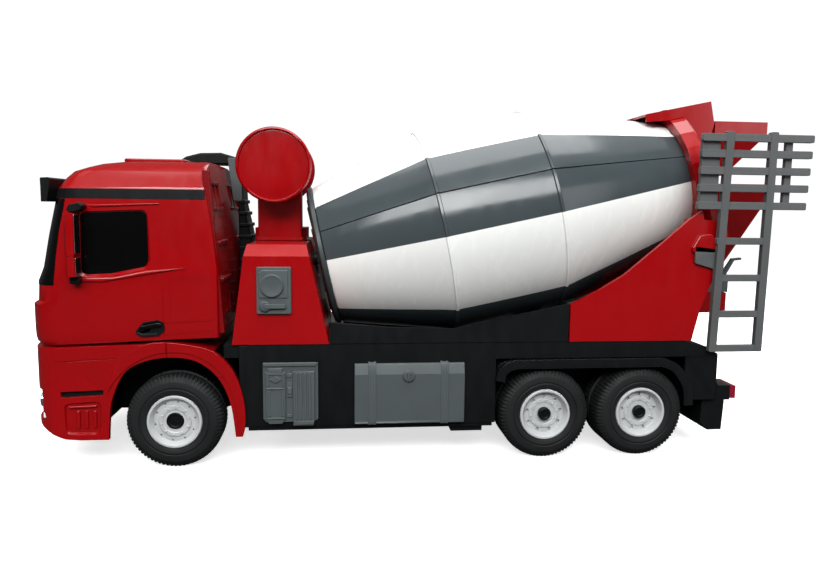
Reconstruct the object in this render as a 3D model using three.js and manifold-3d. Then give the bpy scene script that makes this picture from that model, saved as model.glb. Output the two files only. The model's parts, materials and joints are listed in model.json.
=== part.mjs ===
// A 1:20 toy cement mixer truck: a three-axle chassis with steered front wheels, a cab, a water-tank
// tower, a turning mixer drum and the hoppers, chute and ladder behind it.
// Millimetres, +Z up. The front is at -X, the truck's left side at -Y, and the ground is at Z = 0.
import * as THREE from "three";
import { mergeVertices } from "three/addons/utils/BufferGeometryUtils.js";
import Module from "manifold-3d";

const wasm = await Module();
wasm.setup();

// ---------------------------------------------------------------- driving dimensions

const FIT = 0.3; // gap left between pieces that touch
const WALL = 2.5; // moulded plastic wall
const HALF_WIDTH = 62; // of the chassis and the cab
const ORIGIN_X = 146.15; // from the front axle back to the middle of the truck

const TYRE_RADIUS = 26.8;
const RIM_RADIUS = 15;
const WHEEL_FACE_Y = 64.3; // outer face of every tyre
const FRONT_TYRE_WIDTH = 20;
const REAR_TYRE_WIDTH = 30; // twin tyre moulded as one
const TYRE_SEGMENTS = 24;
const AXLE_RADIUS = 2;
const REAR_AXLES = [211.8, 270.1]; // back from the front axle
const KINGPIN_Y = 38;
const STEER_ARM = 12;

const DECK_TOP = 69.5;
const SKIRT_BOTTOM = 22.2;
const CHASSIS_END = 316.7;

const DRUM_TILT = 12.43; // degrees, rising to the rear
const DRUM_START = { x: 83.8, z: 115.7 }; // centre of the front end
const DRUM_LENGTH = 229.4;
const DRUM_RADIUS = 64; // at the two ribs
const DRUM_RIBS = [69.9, 137.9]; // along the axis
const DRUM_FRONT_RADIUS = 43.7;
const DRUM_REAR_RADIUS = 39.5;
const DRUM_MOUTH_RADIUS = 33;

const tilt = THREE.MathUtils.degToRad(DRUM_TILT);
const seam = THREE.MathUtils.degToRad(22.8); // the shell halves meet this far above the horizontal

const TANK = { x: 52.9, z: 171, radius: 22.6, halfLength: 30, bodyRadius: 19 };
const POST = { x0: 41, x1: 68, y0: -8, y1: 6 };

const RED = 0xb3060d;
const GREY = 0x5b6364;
const BLACK = 0x17191a;
const WHITE = 0xe8eae6;

// ---------------------------------------------------------------- shape helpers

// A closed three.js geometry as a manifold-3d solid.
function solid(geometry) {
  const bare = geometry.index ? geometry.toNonIndexed() : geometry.clone();
  bare.deleteAttribute("normal");
  bare.deleteAttribute("uv");
  const merged = mergeVertices(bare, 1e-4);
  return new wasm.Manifold(
    new wasm.Mesh({
      numProp: 3,
      vertProperties: merged.attributes.position.array,
      triVerts: new Uint32Array(merged.index.array),
    }),
  );
}

const join = (first, ...rest) => rest.reduce((sum, s) => sum.add(s), first);
const cut = (first, ...rest) => rest.reduce((left, s) => left.subtract(s), first);

function box([x0, x1], [y0, y1], [z0, z1]) {
  const g = new THREE.BoxGeometry(x1 - x0, y1 - y0, z1 - z0);
  return solid(g.translate((x0 + x1) / 2, (y0 + y1) / 2, (z0 + z1) / 2));
}

// The span from a to b on the left (side -1) or right (side +1) half, lowest first.
const span = (side, a, b) => [side * a, side * b].sort((p, q) => p - q);

const outline = (points) => new THREE.Shape(points.map(([x, y]) => new THREE.Vector2(x, y)));

// An outline in the XZ plane, extruded across the truck.
function sidePrism(points, [y0, y1]) {
  const g = new THREE.ExtrudeGeometry(outline(points), { depth: y1 - y0, bevelEnabled: false });
  return solid(g.rotateX(Math.PI / 2).translate(0, y1, 0));
}

// An outline in the XY plane, extruded upwards.
function planPrism(points, [z0, z1]) {
  const g = new THREE.ExtrudeGeometry(outline(points), { depth: z1 - z0, bevelEnabled: false });
  return solid(g.translate(0, 0, z0));
}

// A body of revolution; the closed profile is a list of [radius, distance along the axis].
function turnedGeometry(profile, segments) {
  const loop = profile.map(([r, s]) => new THREE.Vector2(r, s));
  if (THREE.ShapeUtils.area(loop) < 0) loop.reverse();
  return new THREE.LatheGeometry([...loop, loop[0]], segments);
}

function turned(profile, segments, axis) {
  const g = turnedGeometry(profile, segments);
  return solid(axis === "x" ? g.rotateZ(-Math.PI / 2) : g);
}

function rod(radius, length, axis, [x, y, z], segments = 12) {
  const g = new THREE.CylinderGeometry(radius, radius, length, segments);
  if (axis === "x") g.rotateZ(Math.PI / 2);
  if (axis === "z") g.rotateX(Math.PI / 2);
  return solid(g.translate(x, y, z));
}

// A solid through closed convex rings of points, each ring above the one before it.
function loft(rings) {
  const position = [];
  const triangle = (...corners) => corners.forEach((c) => position.push(...c));
  const count = rings[0].length;
  for (let k = 0; k + 1 < rings.length; k += 1) {
    for (let i = 0; i < count; i += 1) {
      const j = (i + 1) % count;
      triangle(rings[k][i], rings[k][j], rings[k + 1][j]);
      triangle(rings[k][i], rings[k + 1][j], rings[k + 1][i]);
    }
  }
  const [bottom, top] = [rings[0], rings.at(-1)];
  for (let i = 1; i + 1 < count; i += 1) {
    triangle(bottom[0], bottom[i + 1], bottom[i]);
    triangle(top[0], top[i], top[i + 1]);
  }
  const g = new THREE.BufferGeometry();
  g.setAttribute("position", new THREE.Float32BufferAttribute(position, 3));
  return solid(g);
}

const rectangle = ([x0, x1], half, z) => [
  [x0, -half, z],
  [x1, -half, z],
  [x1, half, z],
  [x0, half, z],
];

// ---------------------------------------------------------------- scene helpers

const truck = new THREE.Group();
truck.position.x = -ORIGIN_X;

function addPiece(name, shape, colour, parent = truck, look = {}) {
  const made = shape.getMesh();
  const g = new THREE.BufferGeometry();
  g.setAttribute("position", new THREE.BufferAttribute(new Float32Array(made.vertProperties), 3));
  g.setIndex(new THREE.BufferAttribute(new Uint32Array(made.triVerts), 1));
  g.computeVertexNormals();
  const material = new THREE.MeshStandardMaterial({
    color: colour,
    roughness: look.roughness ?? 0.4,
    metalness: look.metalness ?? 0,
  });
  const mesh = new THREE.Mesh(g, material);
  mesh.name = name;
  parent.add(mesh);
}

function addGroup([x, y, z], parent = truck) {
  const group = new THREE.Group();
  group.position.set(x, y, z);
  parent.add(group);
  return group;
}

const SIDES = [
  ["left", -1],
  ["right", 1],
];

// ---------------------------------------------------------------- chassis

const RAIL_HALF = 31; // outer faces of the frame between the rear wheels
const WELL = { x: [94, 216], half: 34, floor: 63 }; // hollow of the deck under the drum
const SKIRT_X = [40, 182];

function addChassis() {
  const skirts = box(SKIRT_X, [-HALF_WIDTH, HALF_WIDTH], [SKIRT_BOTTOM, DECK_TOP]);
  const skirtRoom = box(
    [SKIRT_X[0] + WALL, SKIRT_X[1] - WALL],
    [WALL - HALF_WIDTH, HALF_WIDTH - WALL],
    [SKIRT_BOTTOM - 1, 59],
  );
  const rearDeck = box([SKIRT_X[1] - 1, CHASSIS_END], [-HALF_WIDTH, HALF_WIDTH], [60.2, DECK_TOP]);
  const frontDeck = box([27, SKIRT_X[0] + 1], [-HALF_WIDTH + 2, HALF_WIDTH - 2], [62, DECK_TOP]);
  const rearFrame = box([SKIRT_X[1] - 1, 310.6], [-RAIL_HALF, RAIL_HALF], [19, 61]);
  const rearRoom = box([SKIRT_X[1] - 2, 300], [5 - RAIL_HALF, RAIL_HALF - 5], [18, 56]);
  const tail = box([303.5, CHASSIS_END], [-60, 60], [44.5, 61]);
  const frontFrame = box([-58, SKIRT_X[0] + 1], [-26, 26], [44, 66]);
  const well = box(WELL.x, [-WELL.half, WELL.half], [WELL.floor, DECK_TOP + 1]);
  const tailSlope = sidePrism(
    [
      [296, DECK_TOP + 1],
      [296, DECK_TOP],
      [CHASSIS_END - 2, 64.5],
      [CHASSIS_END + 1, 60],
      [CHASSIS_END + 1, DECK_TOP + 1],
    ],
    [-HALF_WIDTH - 1, HALF_WIDTH + 1],
  );
  const axleHoles = REAR_AXLES.map((x) => rod(AXLE_RADIUS + FIT, 80, "y", [x, 0, TYRE_RADIUS]));
  const body = join(skirts, rearDeck, frontDeck, rearFrame, tail, frontFrame);
  addPiece("chassis_frame", cut(body, skirtRoom, rearRoom, well, tailSlope, ...axleHoles), BLACK);
}

const HATCH = { x: [62, 118], half: 28 }; // battery hatch in the floor
const FLOOR_Z = [20, SKIRT_BOTTOM - FIT];
const SWITCH = { x: 135, halfSlot: 5.5, halfWidth: 3.2, travel: 4 };

function addFloor() {
  const plate = box([SKIRT_X[0], SKIRT_X[1] - 1.4], [-HALF_WIDTH + 1, HALF_WIDTH - 1], FLOOR_Z);
  const step = box([156.5, 175], [-HALF_WIDTH + 3, HALF_WIDTH - 3], [16.6, FLOOR_Z[0] + 1]);
  const hatch = box(HATCH.x, [-HATCH.half, HATCH.half], [15, 25]);
  const slot = box(
    [SWITCH.x - SWITCH.halfSlot, SWITCH.x + SWITCH.halfSlot],
    [-SWITCH.halfWidth, SWITCH.halfWidth],
    [15, 25],
  );
  addPiece("chassis_floor", cut(join(plate, step), hatch, slot), BLACK);
  addPiece(
    "battery_cover",
    box(
      [HATCH.x[0] + FIT, HATCH.x[1] - FIT],
      [FIT - HATCH.half, HATCH.half - FIT],
      [FLOOR_Z[0], FLOOR_Z[1]],
    ),
    BLACK,
  );
  const stem = box([SWITCH.x - 5, SWITCH.x - 1], [-2.6, 2.6], [18.4, 23]);
  const head = box([SWITCH.x - 7, SWITCH.x + 1], [-5, 5], [FLOOR_Z[1] + FIT, 25]);
  addPiece("power_switch", join(stem, head), GREY);
  addPiece("battery_pack", box([65, 115], [-25, 25], [24, 41]), 0x2c5aa0);
  addPiece("circuit_board", box([122, 172], [-45, -12], [30, 31.6]), 0x1f6b3a);
}

function addDriveGearbox() {
  const housing = box([200, 282], [-16, 16], [19.5, 44]);
  const holes = REAR_AXLES.map((x) => rod(AXLE_RADIUS + FIT, 40, "y", [x, 0, TYRE_RADIUS]));
  const lid = box([196, 286], [-22, 22], [44, 46]);
  addPiece("drive_gearbox", cut(join(housing, lid), ...holes), WHITE);
}

// ---------------------------------------------------------------- wheels and steering

// Rim and tyre in their own frame: the axle along Y, the outer face at y = 0 towards `side`.
function addWheel(suffix, side, width, parent) {
  const face = (depth) => -side * depth;
  const rim = [
    [AXLE_RADIUS + FIT, face(2)],
    [5, face(2)],
    [6, face(4.5)],
    [12, face(4.5)],
    [13.4, face(0.6)],
    [RIM_RADIUS, face(0.6)],
    [RIM_RADIUS, face(width - 1)],
    [12.5, face(width - 1)],
    [12.5, face(8)],
    [AXLE_RADIUS + FIT, face(8)],
  ];
  const bore = RIM_RADIUS + FIT;
  const tread = TYRE_RADIUS / Math.cos(Math.PI / TYRE_SEGMENTS); // the flats lie on the tyre's radius
  const tyre = [
    [bore, face(0.8)],
    [23.4, face(0)],
    [tread, face(4)],
    [tread, face(width - 4)],
    [23.4, face(width)],
    [bore, face(width - 0.8)],
  ];
  addPiece("rim_" + suffix, turned(rim, 16, "y"), WHITE, parent);
  const rubber = turnedGeometry(tyre, TYRE_SEGMENTS).rotateY(Math.PI / TYRE_SEGMENTS);
  addPiece("tyre_" + suffix, solid(rubber), BLACK, parent, { roughness: 0.9 });
}

function addFrontAxle() {
  const upper = box([-6, 6], [-KINGPIN_Y - 3.5, KINGPIN_Y + 3.5], [36, 39.5]);
  const lower = box([-6, 6], [-KINGPIN_Y - 3.5, KINGPIN_Y + 3.5], [14, 17.5]);
  const web = box([-5, 5], [-29, 29], [15, 43.7]);
  const pinHoles = [-1, 1].map((side) =>
    rod(AXLE_RADIUS + FIT, 60, "z", [0, side * KINGPIN_Y, TYRE_RADIUS]),
  );
  addPiece("axle_beam", cut(join(upper, lower, web), ...pinHoles), BLACK);

  const rodX = [STEER_ARM - 4.5, STEER_ARM + 3];
  const bar = box(rodX, [-KINGPIN_Y - 4, KINGPIN_Y + 4], [19, 22.5]);
  const slots = [-1, 1].map((side) =>
    box([STEER_ARM - 2.8, STEER_ARM + 1.5], [side * KINGPIN_Y - 1.8, side * KINGPIN_Y + 1.8], [18, 24]),
  );
  addPiece("tie_rod", cut(bar, ...slots), BLACK);

  for (const [name, side] of SIDES) {
    const kingpin = addGroup([0, side * KINGPIN_Y, TYRE_RADIUS]);
    const block = box([-4, 4], [-4, 4], [-8.8, 8.8]);
    const pin = rod(AXLE_RADIUS, 24.8, "z", [0, 0, 0]);
    const stub = rod(AXLE_RADIUS, 20, "y", [0, side * 13, 0]);
    const arm = box([3, STEER_ARM + 1.5], [-1.5, 1.5], [-3.6, -1]);
    const ball = rod(1.2, 4, "z", [STEER_ARM, 0, -5.4], 8);
    addPiece("steering_knuckle_" + name, join(block, pin, stub, arm, ball), GREY, kingpin);
    const hub = addGroup([0, side * (WHEEL_FACE_Y - KINGPIN_Y), 0], kingpin);
    addWheel("front_" + name, side, FRONT_TYRE_WIDTH, hub);
  }
}

function addRearAxles() {
  REAR_AXLES.forEach((x, i) => {
    const axle = addGroup([x, 0, TYRE_RADIUS]);
    const number = i + 1;
    const length = 2 * (WHEEL_FACE_Y - 3);
    addPiece("rear_axle_" + number, rod(AXLE_RADIUS, length, "y", [0, 0, 0]), GREY, axle);
    for (const [name, side] of SIDES) {
      const hub = addGroup([0, side * WHEEL_FACE_Y, 0], axle);
      addWheel("rear_" + number + "_" + name, side, REAR_TYRE_WIDTH, hub);
    }
  });
}

// ---------------------------------------------------------------- cab

// The cab is lofted through level rings: height, front and rear at the middle, and half width.
const CAB_RINGS = [
  [70, -77.5, 25, 61],
  [74, -79.4, 25, 62],
  [79, -80, 25, 62.2],
  [92.5, -79.6, 25, 62.2],
  [94, -77.2, 25, 62.2],
  [105, -76.8, 25, 62.2],
  [112.5, -73.6, 25, 62],
  [130, -70.2, 23.2, 61.6],
  [148, -66.2, 20.5, 61],
  [158, -63.4, 18.8, 60.4],
  [164, -58.5, 18, 56.5],
  [169, -47, 17.6, 49],
  [172.5, -30, 15, 32],
];

function cabSolid(inset, lowest = CAB_RINGS[0][0]) {
  const ring = ([z, front, rear, half]) => {
    const f = front + inset;
    const r = rear - inset;
    const h = half - inset;
    const right = [
      [f + 0.5, 0.4 * h],
      [f + 3, 0.79 * h],
      [f + 8, 0.94 * h],
      [f + 18, h],
      [r, h],
    ];
    const left = right.map(([x, y]) => [x, -y]);
    return [...left, ...right.reverse()].map(([x, y]) => [x, y, z]);
  };
  const rings = CAB_RINGS.map(([z, ...rest]) => [Math.min(z, 172.5 - inset), ...rest]);
  rings[0][0] = lowest;
  const last = rings.at(-1);
  return loft([...rings.slice(0, -1), last].map(ring));
}

const SIDE_WINDOW = [
  [-47, 109],
  [-32, 109.5],
  [-13.8, 113.2],
  [-12.2, 116],
  [-12.2, 143.6],
  [-46.4, 142.2],
];
const WINDSCREEN_Z = [104.5, 155];

const grown = (points, by) => {
  const cx = points.reduce((sum, p) => sum + p[0], 0) / points.length;
  const cz = points.reduce((sum, p) => sum + p[1], 0) / points.length;
  return points.map(([x, z]) => [x + Math.sign(x - cx) * by, z + Math.sign(z - cz) * by]);
};

function cabOpenings(clearance) {
  const side = sidePrism(grown(SIDE_WINDOW, -clearance), [-80, 80]);
  const screen = sidePrism(
    [
      [-90, WINDSCREEN_Z[0] + clearance],
      [-64 - clearance, WINDSCREEN_Z[0] + clearance],
      [-54.5 - clearance, WINDSCREEN_Z[1] - clearance],
      [-90, WINDSCREEN_Z[1] - clearance],
    ],
    [-80, 80],
  );
  return join(side, screen);
}

function addCab() {
  const lowerEdge = sidePrism(
    [
      [-90, 60],
      [30, 60],
      [30, 74.1],
      [-65, 70.1],
      [-90, 69.9],
    ],
    [-70, 70],
  );
  const shell = cut(cabSolid(0), cabSolid(WALL, 60), cabOpenings(0), lowerEdge);
  const hatch = box([-33, 2], [-28, 14], [171.2, 173.6]);
  addPiece("cab_shell", join(shell, hatch), RED);

  const panes = cut(cabSolid(0.9), cabSolid(WALL + FIT + 1.2, 60)).intersect(cabOpenings(FIT));
  const liner = cut(cabSolid(WALL + FIT), cabSolid(WALL + FIT + 1.2, 60)).intersect(
    box([-100, 8], [-70, 70], [104, 150]),
  );
  addPiece("window_insert", join(panes, liner), BLACK, truck, { roughness: 0.1 });

  const visor = sidePrism(
    [
      [-77.5, 147.5],
      [-75.5, 158],
      [-73.5, 161],
      [-64.2, 161.5],
      [-67.1, 147.5],
      [-68, 147.2],
    ],
    [-52, 52],
  );
  addPiece("sun_visor", cut(visor, cabSolid(-FIT)), BLACK);

  for (const [name, side] of SIDES) {
    const housing = box([-51.5, -46.5], span(side, 63.5, 73), [108.6, 142.2]);
    const arms = [
      box([-51, -44.5], span(side, 62.5, 68), [142, 147.5]),
      box([-51.5, -47], span(side, 62.5, 68), [104, 109]),
    ];
    addPiece("mirror_" + name, cut(join(housing, ...arms), cabSolid(-FIT)), RED);
  }
}

const INTAKE_Y = [18, 44];

function addAirIntake() {
  const column = sidePrism(
    [
      [26, 76],
      [30.6, 76],
      [34.6, 118],
      [34, 124],
      [29, 148],
      [28, 174],
      [26, 176],
      [25.6, 140],
    ],
    INTAKE_Y,
  );
  const head = sidePrism(
    [
      [-13.4, 174.2],
      [26.4, 173.8],
      [28, 174],
      [23.6, 178.6],
      [15, 181],
      [2, 180.6],
      [-7, 178.2],
    ],
    INTAKE_Y,
  );
  addPiece("air_intake", join(column, head), BLACK);
}

const BUMPER_TOP = [68.6, 71.6]; // at the front and behind the front wheel
const ARCH = [
  [-35.4, 16],
  [-33.4, 40],
  [-26.5, 55],
  [-17, 61],
  [-5, 63.4],
  [9, 62.4],
  [19, 56.6],
  [26, 47.5],
  [31, 34],
  [33.4, 16],
];

function addFrontBumper() {
  const side = [
    [-78.4, BUMPER_TOP[0]],
    [-78.8, 50],
    [-78.4, 32],
    [-74, 26.5],
    [-65, 20.5],
    [-60.5, 18.2],
    [-54, 17.3],
    [-38, 17.3],
    [37.4, 17.3],
    [38.6, 24],
    [37.4, 40],
    [34.6, 51],
    [30, 60],
    [22, 67],
    [14, 71],
    [-4, BUMPER_TOP[1]],
  ];
  const h = 63.4;
  const plan = [
    [-78.8, -0.42 * h],
    [-76, -0.79 * h],
    [-71, -0.94 * h],
    [-61, -h],
    [40, -h],
    [40, h],
    [-61, h],
    [-71, 0.94 * h],
    [-76, 0.79 * h],
    [-78.8, 0.42 * h],
  ];
  const room = planPrism(
    plan.map(([x, y]) => [Math.max(x + 5, -73), Math.sign(y) * (Math.abs(y) - 2.8)]),
    [10, 80],
  );
  const rearSkin = box([34, 50], [-60.6, 60.6], [10, 80]);
  const skin = sidePrism(side, [-h, h]).intersect(planPrism(plan, [10, 80]));
  const arch = sidePrism([...ARCH].reverse(), [-70, 70]);
  const lampRecess = [-1, 1].map((s) => box([-90, -70.5], span(s, 34, 61), [29.2, 45.6]));
  addPiece("front_bumper", cut(skin, room, rearSkin, arch, ...lampRecess), RED);

  for (const [name, s] of SIDES) {
    const lens = box([-77.6, -70.8], span(s, 34 + FIT, 59), [29.2 + FIT, 45.6 - FIT]);
    const shaped = lens.intersect(planPrism(plan.map(([x, y]) => [x + 0.8, y * 0.985]), [10, 80]));
    addPiece("headlight_" + name, cut(shaped, room), WHITE, truck, { roughness: 0.08 });
  }
}

// ---------------------------------------------------------------- tower and water tank

function addTower() {
  const base = DECK_TOP + FIT;
  const flare = (inset, bottom) => [
    [
      [31.8 + inset, bottom],
      [85.6 - inset, bottom],
    ],
    [
      [38.6 + inset, 119.3],
      [74.6 - inset, 119.3],
    ],
    [
      [39.6 + inset, 125.4],
      [72.8 - inset, 125.4],
    ],
  ];
  const rings = (inset, bottom, drop) => {
    const half = [HALF_WIDTH, HALF_WIDTH - 0.4, 52.5];
    return flare(inset, bottom).map(([[x0, z], [x1]], i) =>
      rectangle([x0, x1], half[i] - inset, i === 0 ? z : z - drop),
    );
  };
  const shell = cut(loft(rings(0, base, 0)), loft(rings(WALL, base - 5, WALL)));
  const saddle = box([37.5, 70.5], [8, 40], [124, 133]);
  addPiece("drum_tower", cut(join(shell, saddle), drumCylinder(14, [-50, 0])), RED);

  const cap = (y0, y1) => rod(TANK.radius, y1 - y0, "y", [TANK.x, (y0 + y1) / 2, TANK.z], 28);
  const body = rod(TANK.bodyRadius, 2 * TANK.halfLength - 4, "y", [TANK.x, 0, TANK.z], 24);
  const ends = [cap(-TANK.halfLength, -TANK.halfLength + 6), cap(TANK.halfLength - 6, TANK.halfLength)];
  const post = box([POST.x0, POST.x1], [POST.y0, POST.y1], [125.4 + FIT, TANK.z]);
  const foot = box([POST.x0 - 1, POST.x1 + 1], [POST.y0 - 1, POST.y1 + 0.5], [125.4 + FIT, 127.4]);
  addPiece("water_tank", join(body, ...ends, post, foot), RED);

  for (const [name, side] of SIDES) {
    const y = HALF_WIDTH + FIT;
    const plate = box([45.8, 64.8], span(side, y, y + 1.8), [87.2, 113.6]);
    const dial = rod(6.2, 2.2, "y", [54.3, side * (y + 2), 103.2], 24);
    const lever = rod(3.1, 2.2, "y", [50.4, side * (y + 2), 91.8], 16);
    const bar = box([50.4, 61.4], span(side, y + 1, y + 3), [90.6, 93]);
    addPiece("control_panel_" + name, join(plate, dial, lever, bar), GREY);
  }
}

// ---------------------------------------------------------------- chassis side equipment

function addSideEquipment() {
  const y0 = HALF_WIDTH + FIT;
  for (const [name, side] of SIDES) {
    const tank = box([99.9, 163.2], span(side, y0, y0 + 3.2), [23, 59]);
    const straps = [
      [107.6, 112.2],
      [149.2, 153.8],
    ].map((x) => box(x, span(side, y0, y0 + 3.7), [22.4, 59.6]));
    const cap = rod(3.4, 2, "y", [130.8, side * (y0 + 3.6), 51.6], 16);
    addPiece("fuel_tank_" + name, join(tank, ...straps, cap), GREY);

    const back = box([48.6, 79.4], span(side, y0, y0 + 1.6), [24.6, 59.8]);
    const top = box([48.6, 79.4], span(side, y0, y0 + 2.6), [56, 59.8]);
    const doors = [
      box([50.4, 60.6], span(side, y0, y0 + 2.6), [24.6, 54.6]),
      box([65.6, 77.4], span(side, y0, y0 + 3), [23.4, 55]),
    ];
    addPiece("toolbox_" + name, join(back, top, ...doors), GREY);
  }
}

function addRearFenders() {
  const outer = [
    [182.6, 50],
    [185, 54.4],
    [189.5, 57.6],
    [196, 59.2],
    [283, 59.2],
    [290.5, 56],
    [296, 50],
    [300, 41.5],
    [301.4, 31],
  ];
  const inner = [
    [299.4, 31],
    [297.6, 41],
    [293.6, 48.6],
    [288.4, 53.6],
    [282, 55.6],
    [199, 55.6],
    [192, 53.8],
    [187.4, 49.4],
    [186.6, 46],
    [183.6, 46],
  ];
  for (const [name, side] of SIDES) {
    addPiece(
      "rear_fender_" + name,
      sidePrism([...inner].reverse().concat([...outer].reverse()), span(side, RAIL_HALF + FIT, 65)),
      BLACK,
    );
  }
}

// ---------------------------------------------------------------- drum

const DRUM_WALL = 2;

// Outer and inner profile of the drum as [radius, distance along the axis].
function drumProfile() {
  const outer = [
    [DRUM_FRONT_RADIUS, 0],
    [DRUM_RADIUS, DRUM_RIBS[0]],
    [DRUM_RADIUS + 0.3, DRUM_RIBS[1]],
    [DRUM_REAR_RADIUS, DRUM_LENGTH],
  ];
  const inner = outer
    .map(([r, s]) => [r - DRUM_WALL, s])
    .slice(1, 3)
    .reverse();
  return [
    ...outer,
    [DRUM_MOUTH_RADIUS, DRUM_LENGTH],
    [DRUM_MOUTH_RADIUS, DRUM_LENGTH - 2],
    [DRUM_REAR_RADIUS - 1.5, DRUM_LENGTH - 2],
    ...inner,
    [DRUM_FRONT_RADIUS - DRUM_WALL, 2.5],
    [4.3, 2.5],
    [4.3, 0],
  ];
}

function addDrum() {
  const drum = addGroup([DRUM_START.x, 0, DRUM_START.z]);
  drum.rotation.y = -tilt;
  const whole = turned(drumProfile(), 28, "x");
  const reach = [-5, DRUM_LENGTH + 5];
  const big = DRUM_RADIUS + 5;
  const halfBox = (up) => {
    const g = new THREE.BoxGeometry(reach[1] - reach[0], 2 * big, big);
    g.translate((reach[0] + reach[1]) / 2, 0, ((big + FIT) / 2) * (up ? 1 : -1));
    return solid(g.rotateX(-seam));
  };
  addPiece("drum_shell_upper", whole.intersect(halfBox(true)), WHITE, drum);
  addPiece("drum_shell_lower", whole.intersect(halfBox(false)), GREY, drum);

  const plate = rod(44.6, 4.2, "x", [-FIT - 2.1, 0, 0], 24);
  const shaft = rod(4, 17, "x", [-0.5, 0, 0], 24);
  addPiece("drum_collar", join(plate, shaft), GREY, drum);

  const motorAt = addGroup([DRUM_START.x, 0, DRUM_START.z]);
  motorAt.rotation.y = -tilt;
  const can = rod(11, 22, "x", [-29, 0, 0], 20);
  const nose = rod(8, 8.4, "x", [-14.4, 0, 0], 16);
  const mount = box([-24, -18], [-22, 22], [-20, 6]);
  const socket = rod(AXLE_RADIUS * 2 + FIT, 3, "x", [-10.3, 0, 0]);
  addPiece("drum_motor", cut(join(can, nose, mount), socket), GREY, motorAt);
}

function addCradle() {
  const side = [
    [86.4, DECK_TOP + FIT],
    [224.8, DECK_TOP + FIT],
    [224.8, 92],
    [201.3, 87],
    [183.7, 83.5],
    [157.5, 77.8],
    [120, 78.9],
    [86.4, 81.8],
  ];
  const walls = [-1, 1].map((s) => sidePrism(side, span(s, HALF_WIDTH - 3.4, HALF_WIDTH - 0.6)));
  const ties = [
    box([86.4, 89], [-60, 60], [DECK_TOP + FIT, DECK_TOP + 1.2]),
    box([219, 224.8], [-60, 60], [DECK_TOP + FIT, 77]),
  ];
  addPiece("drum_cradle", join(...walls, ...ties), BLACK);
}

// ---------------------------------------------------------------- rear end

// A ring about the drum's axis, in the truck's own frame.
function drumRing(inner, outer, [s0, s1]) {
  const profile = [
    [inner, s0],
    [outer, s0],
    [outer, s1],
    [inner, s1],
  ];
  const g = turnedGeometry(profile, 28).rotateZ(-Math.PI / 2).rotateY(-tilt);
  return solid(g.translate(DRUM_START.x, 0, DRUM_START.z));
}

// A solid cylinder on the drum's axis, in the truck's own frame.
function drumCylinder(radius, [s0, s1]) {
  const g = new THREE.CylinderGeometry(radius, radius, s1 - s0, 28);
  g.translate(0, (s0 + s1) / 2, 0).rotateZ(-Math.PI / 2).rotateY(-tilt);
  return solid(g.translate(DRUM_START.x, 0, DRUM_START.z));
}

// A point given along and above the drum's axis, as [x, z] of the truck.
const onDrum = (s, n) => [
  DRUM_START.x + s * Math.cos(tilt) - n * Math.sin(tilt),
  DRUM_START.z + s * Math.sin(tilt) + n * Math.cos(tilt),
];

function addRearSupport() {
  const panel = [
    [225.7, DECK_TOP + FIT],
    [300.8, DECK_TOP + FIT],
    [305, 88.3],
    [313, 109.2],
    [303.4, 147],
    [295.5, 141.5],
    [278, 126.2],
    [257.5, 109.1],
    [242.8, 100.3],
    [225.7, 91.6],
  ];
  const panels = [-1, 1].map((s) => sidePrism(panel, span(s, HALF_WIDTH - 3.4, HALF_WIDTH - 0.4)));
  const rearWall = sidePrism(
    [
      [297.8, DECK_TOP + FIT],
      [300.8, DECK_TOP + FIT],
      [305, 88.3],
      [313, 109.2],
      [310, 110],
      [302, 88.8],
    ],
    [1 - HALF_WIDTH, HALF_WIDTH - 1],
  );
  const bulkhead = sidePrism(
    [onDrum(232, -50), onDrum(235.5, -50), onDrum(235.5, 2), onDrum(232, 2)],
    [-50, 50],
  );
  const gussets = [-1, 1].map((s) =>
    sidePrism([[298, 128], onDrum(235, -38), onDrum(235, -26), [300, 142]], span(s, 46, 60)),
  );
  const floor = sidePrism(
    [
      [303, 103],
      [311, 109],
      onDrum(235.5, -48),
      onDrum(231, -48),
    ],
    [-50, 50],
  );
  const bracket = box([303, 325], [-9, 9], [93, 103.5]);
  const ring = drumRing(41.6, 47.4, [227, 236]);
  const mouth = drumCylinder(41.6, [220, 240]);
  const hoodSpace = sidePrism(
    [
      [281, 204.5],
      [325, 213],
      [325, 230],
      [281, 230],
    ],
    [-27, 27],
  );
  const body = join(...panels, rearWall, bulkhead, ...gussets, floor, bracket, ring);
  const frame = cut(body, mouth, hoodSpace);
  addPiece("rear_support", frame, RED);
}

// A four-sided funnel with open ends: rim and spout are [x0, x1] spans with a half width and a height.
function funnel(rim, spout, wall) {
  const band = rectangle(rim.x, rim.half, rim.z + rim.band);
  const outer = [rectangle(spout.x, spout.half, spout.z), rectangle(rim.x, rim.half, rim.z), band];
  const inset = ([x0, x1]) => [x0 + wall, x1 - wall];
  const inner = [
    rectangle(inset(spout.x), spout.half - wall, spout.z - 1),
    rectangle(inset(rim.x), rim.half - wall, rim.z),
    rectangle(inset(rim.x), rim.half - wall, rim.z + rim.band + 1),
  ];
  return cut(loft(outer), loft(inner));
}

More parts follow.
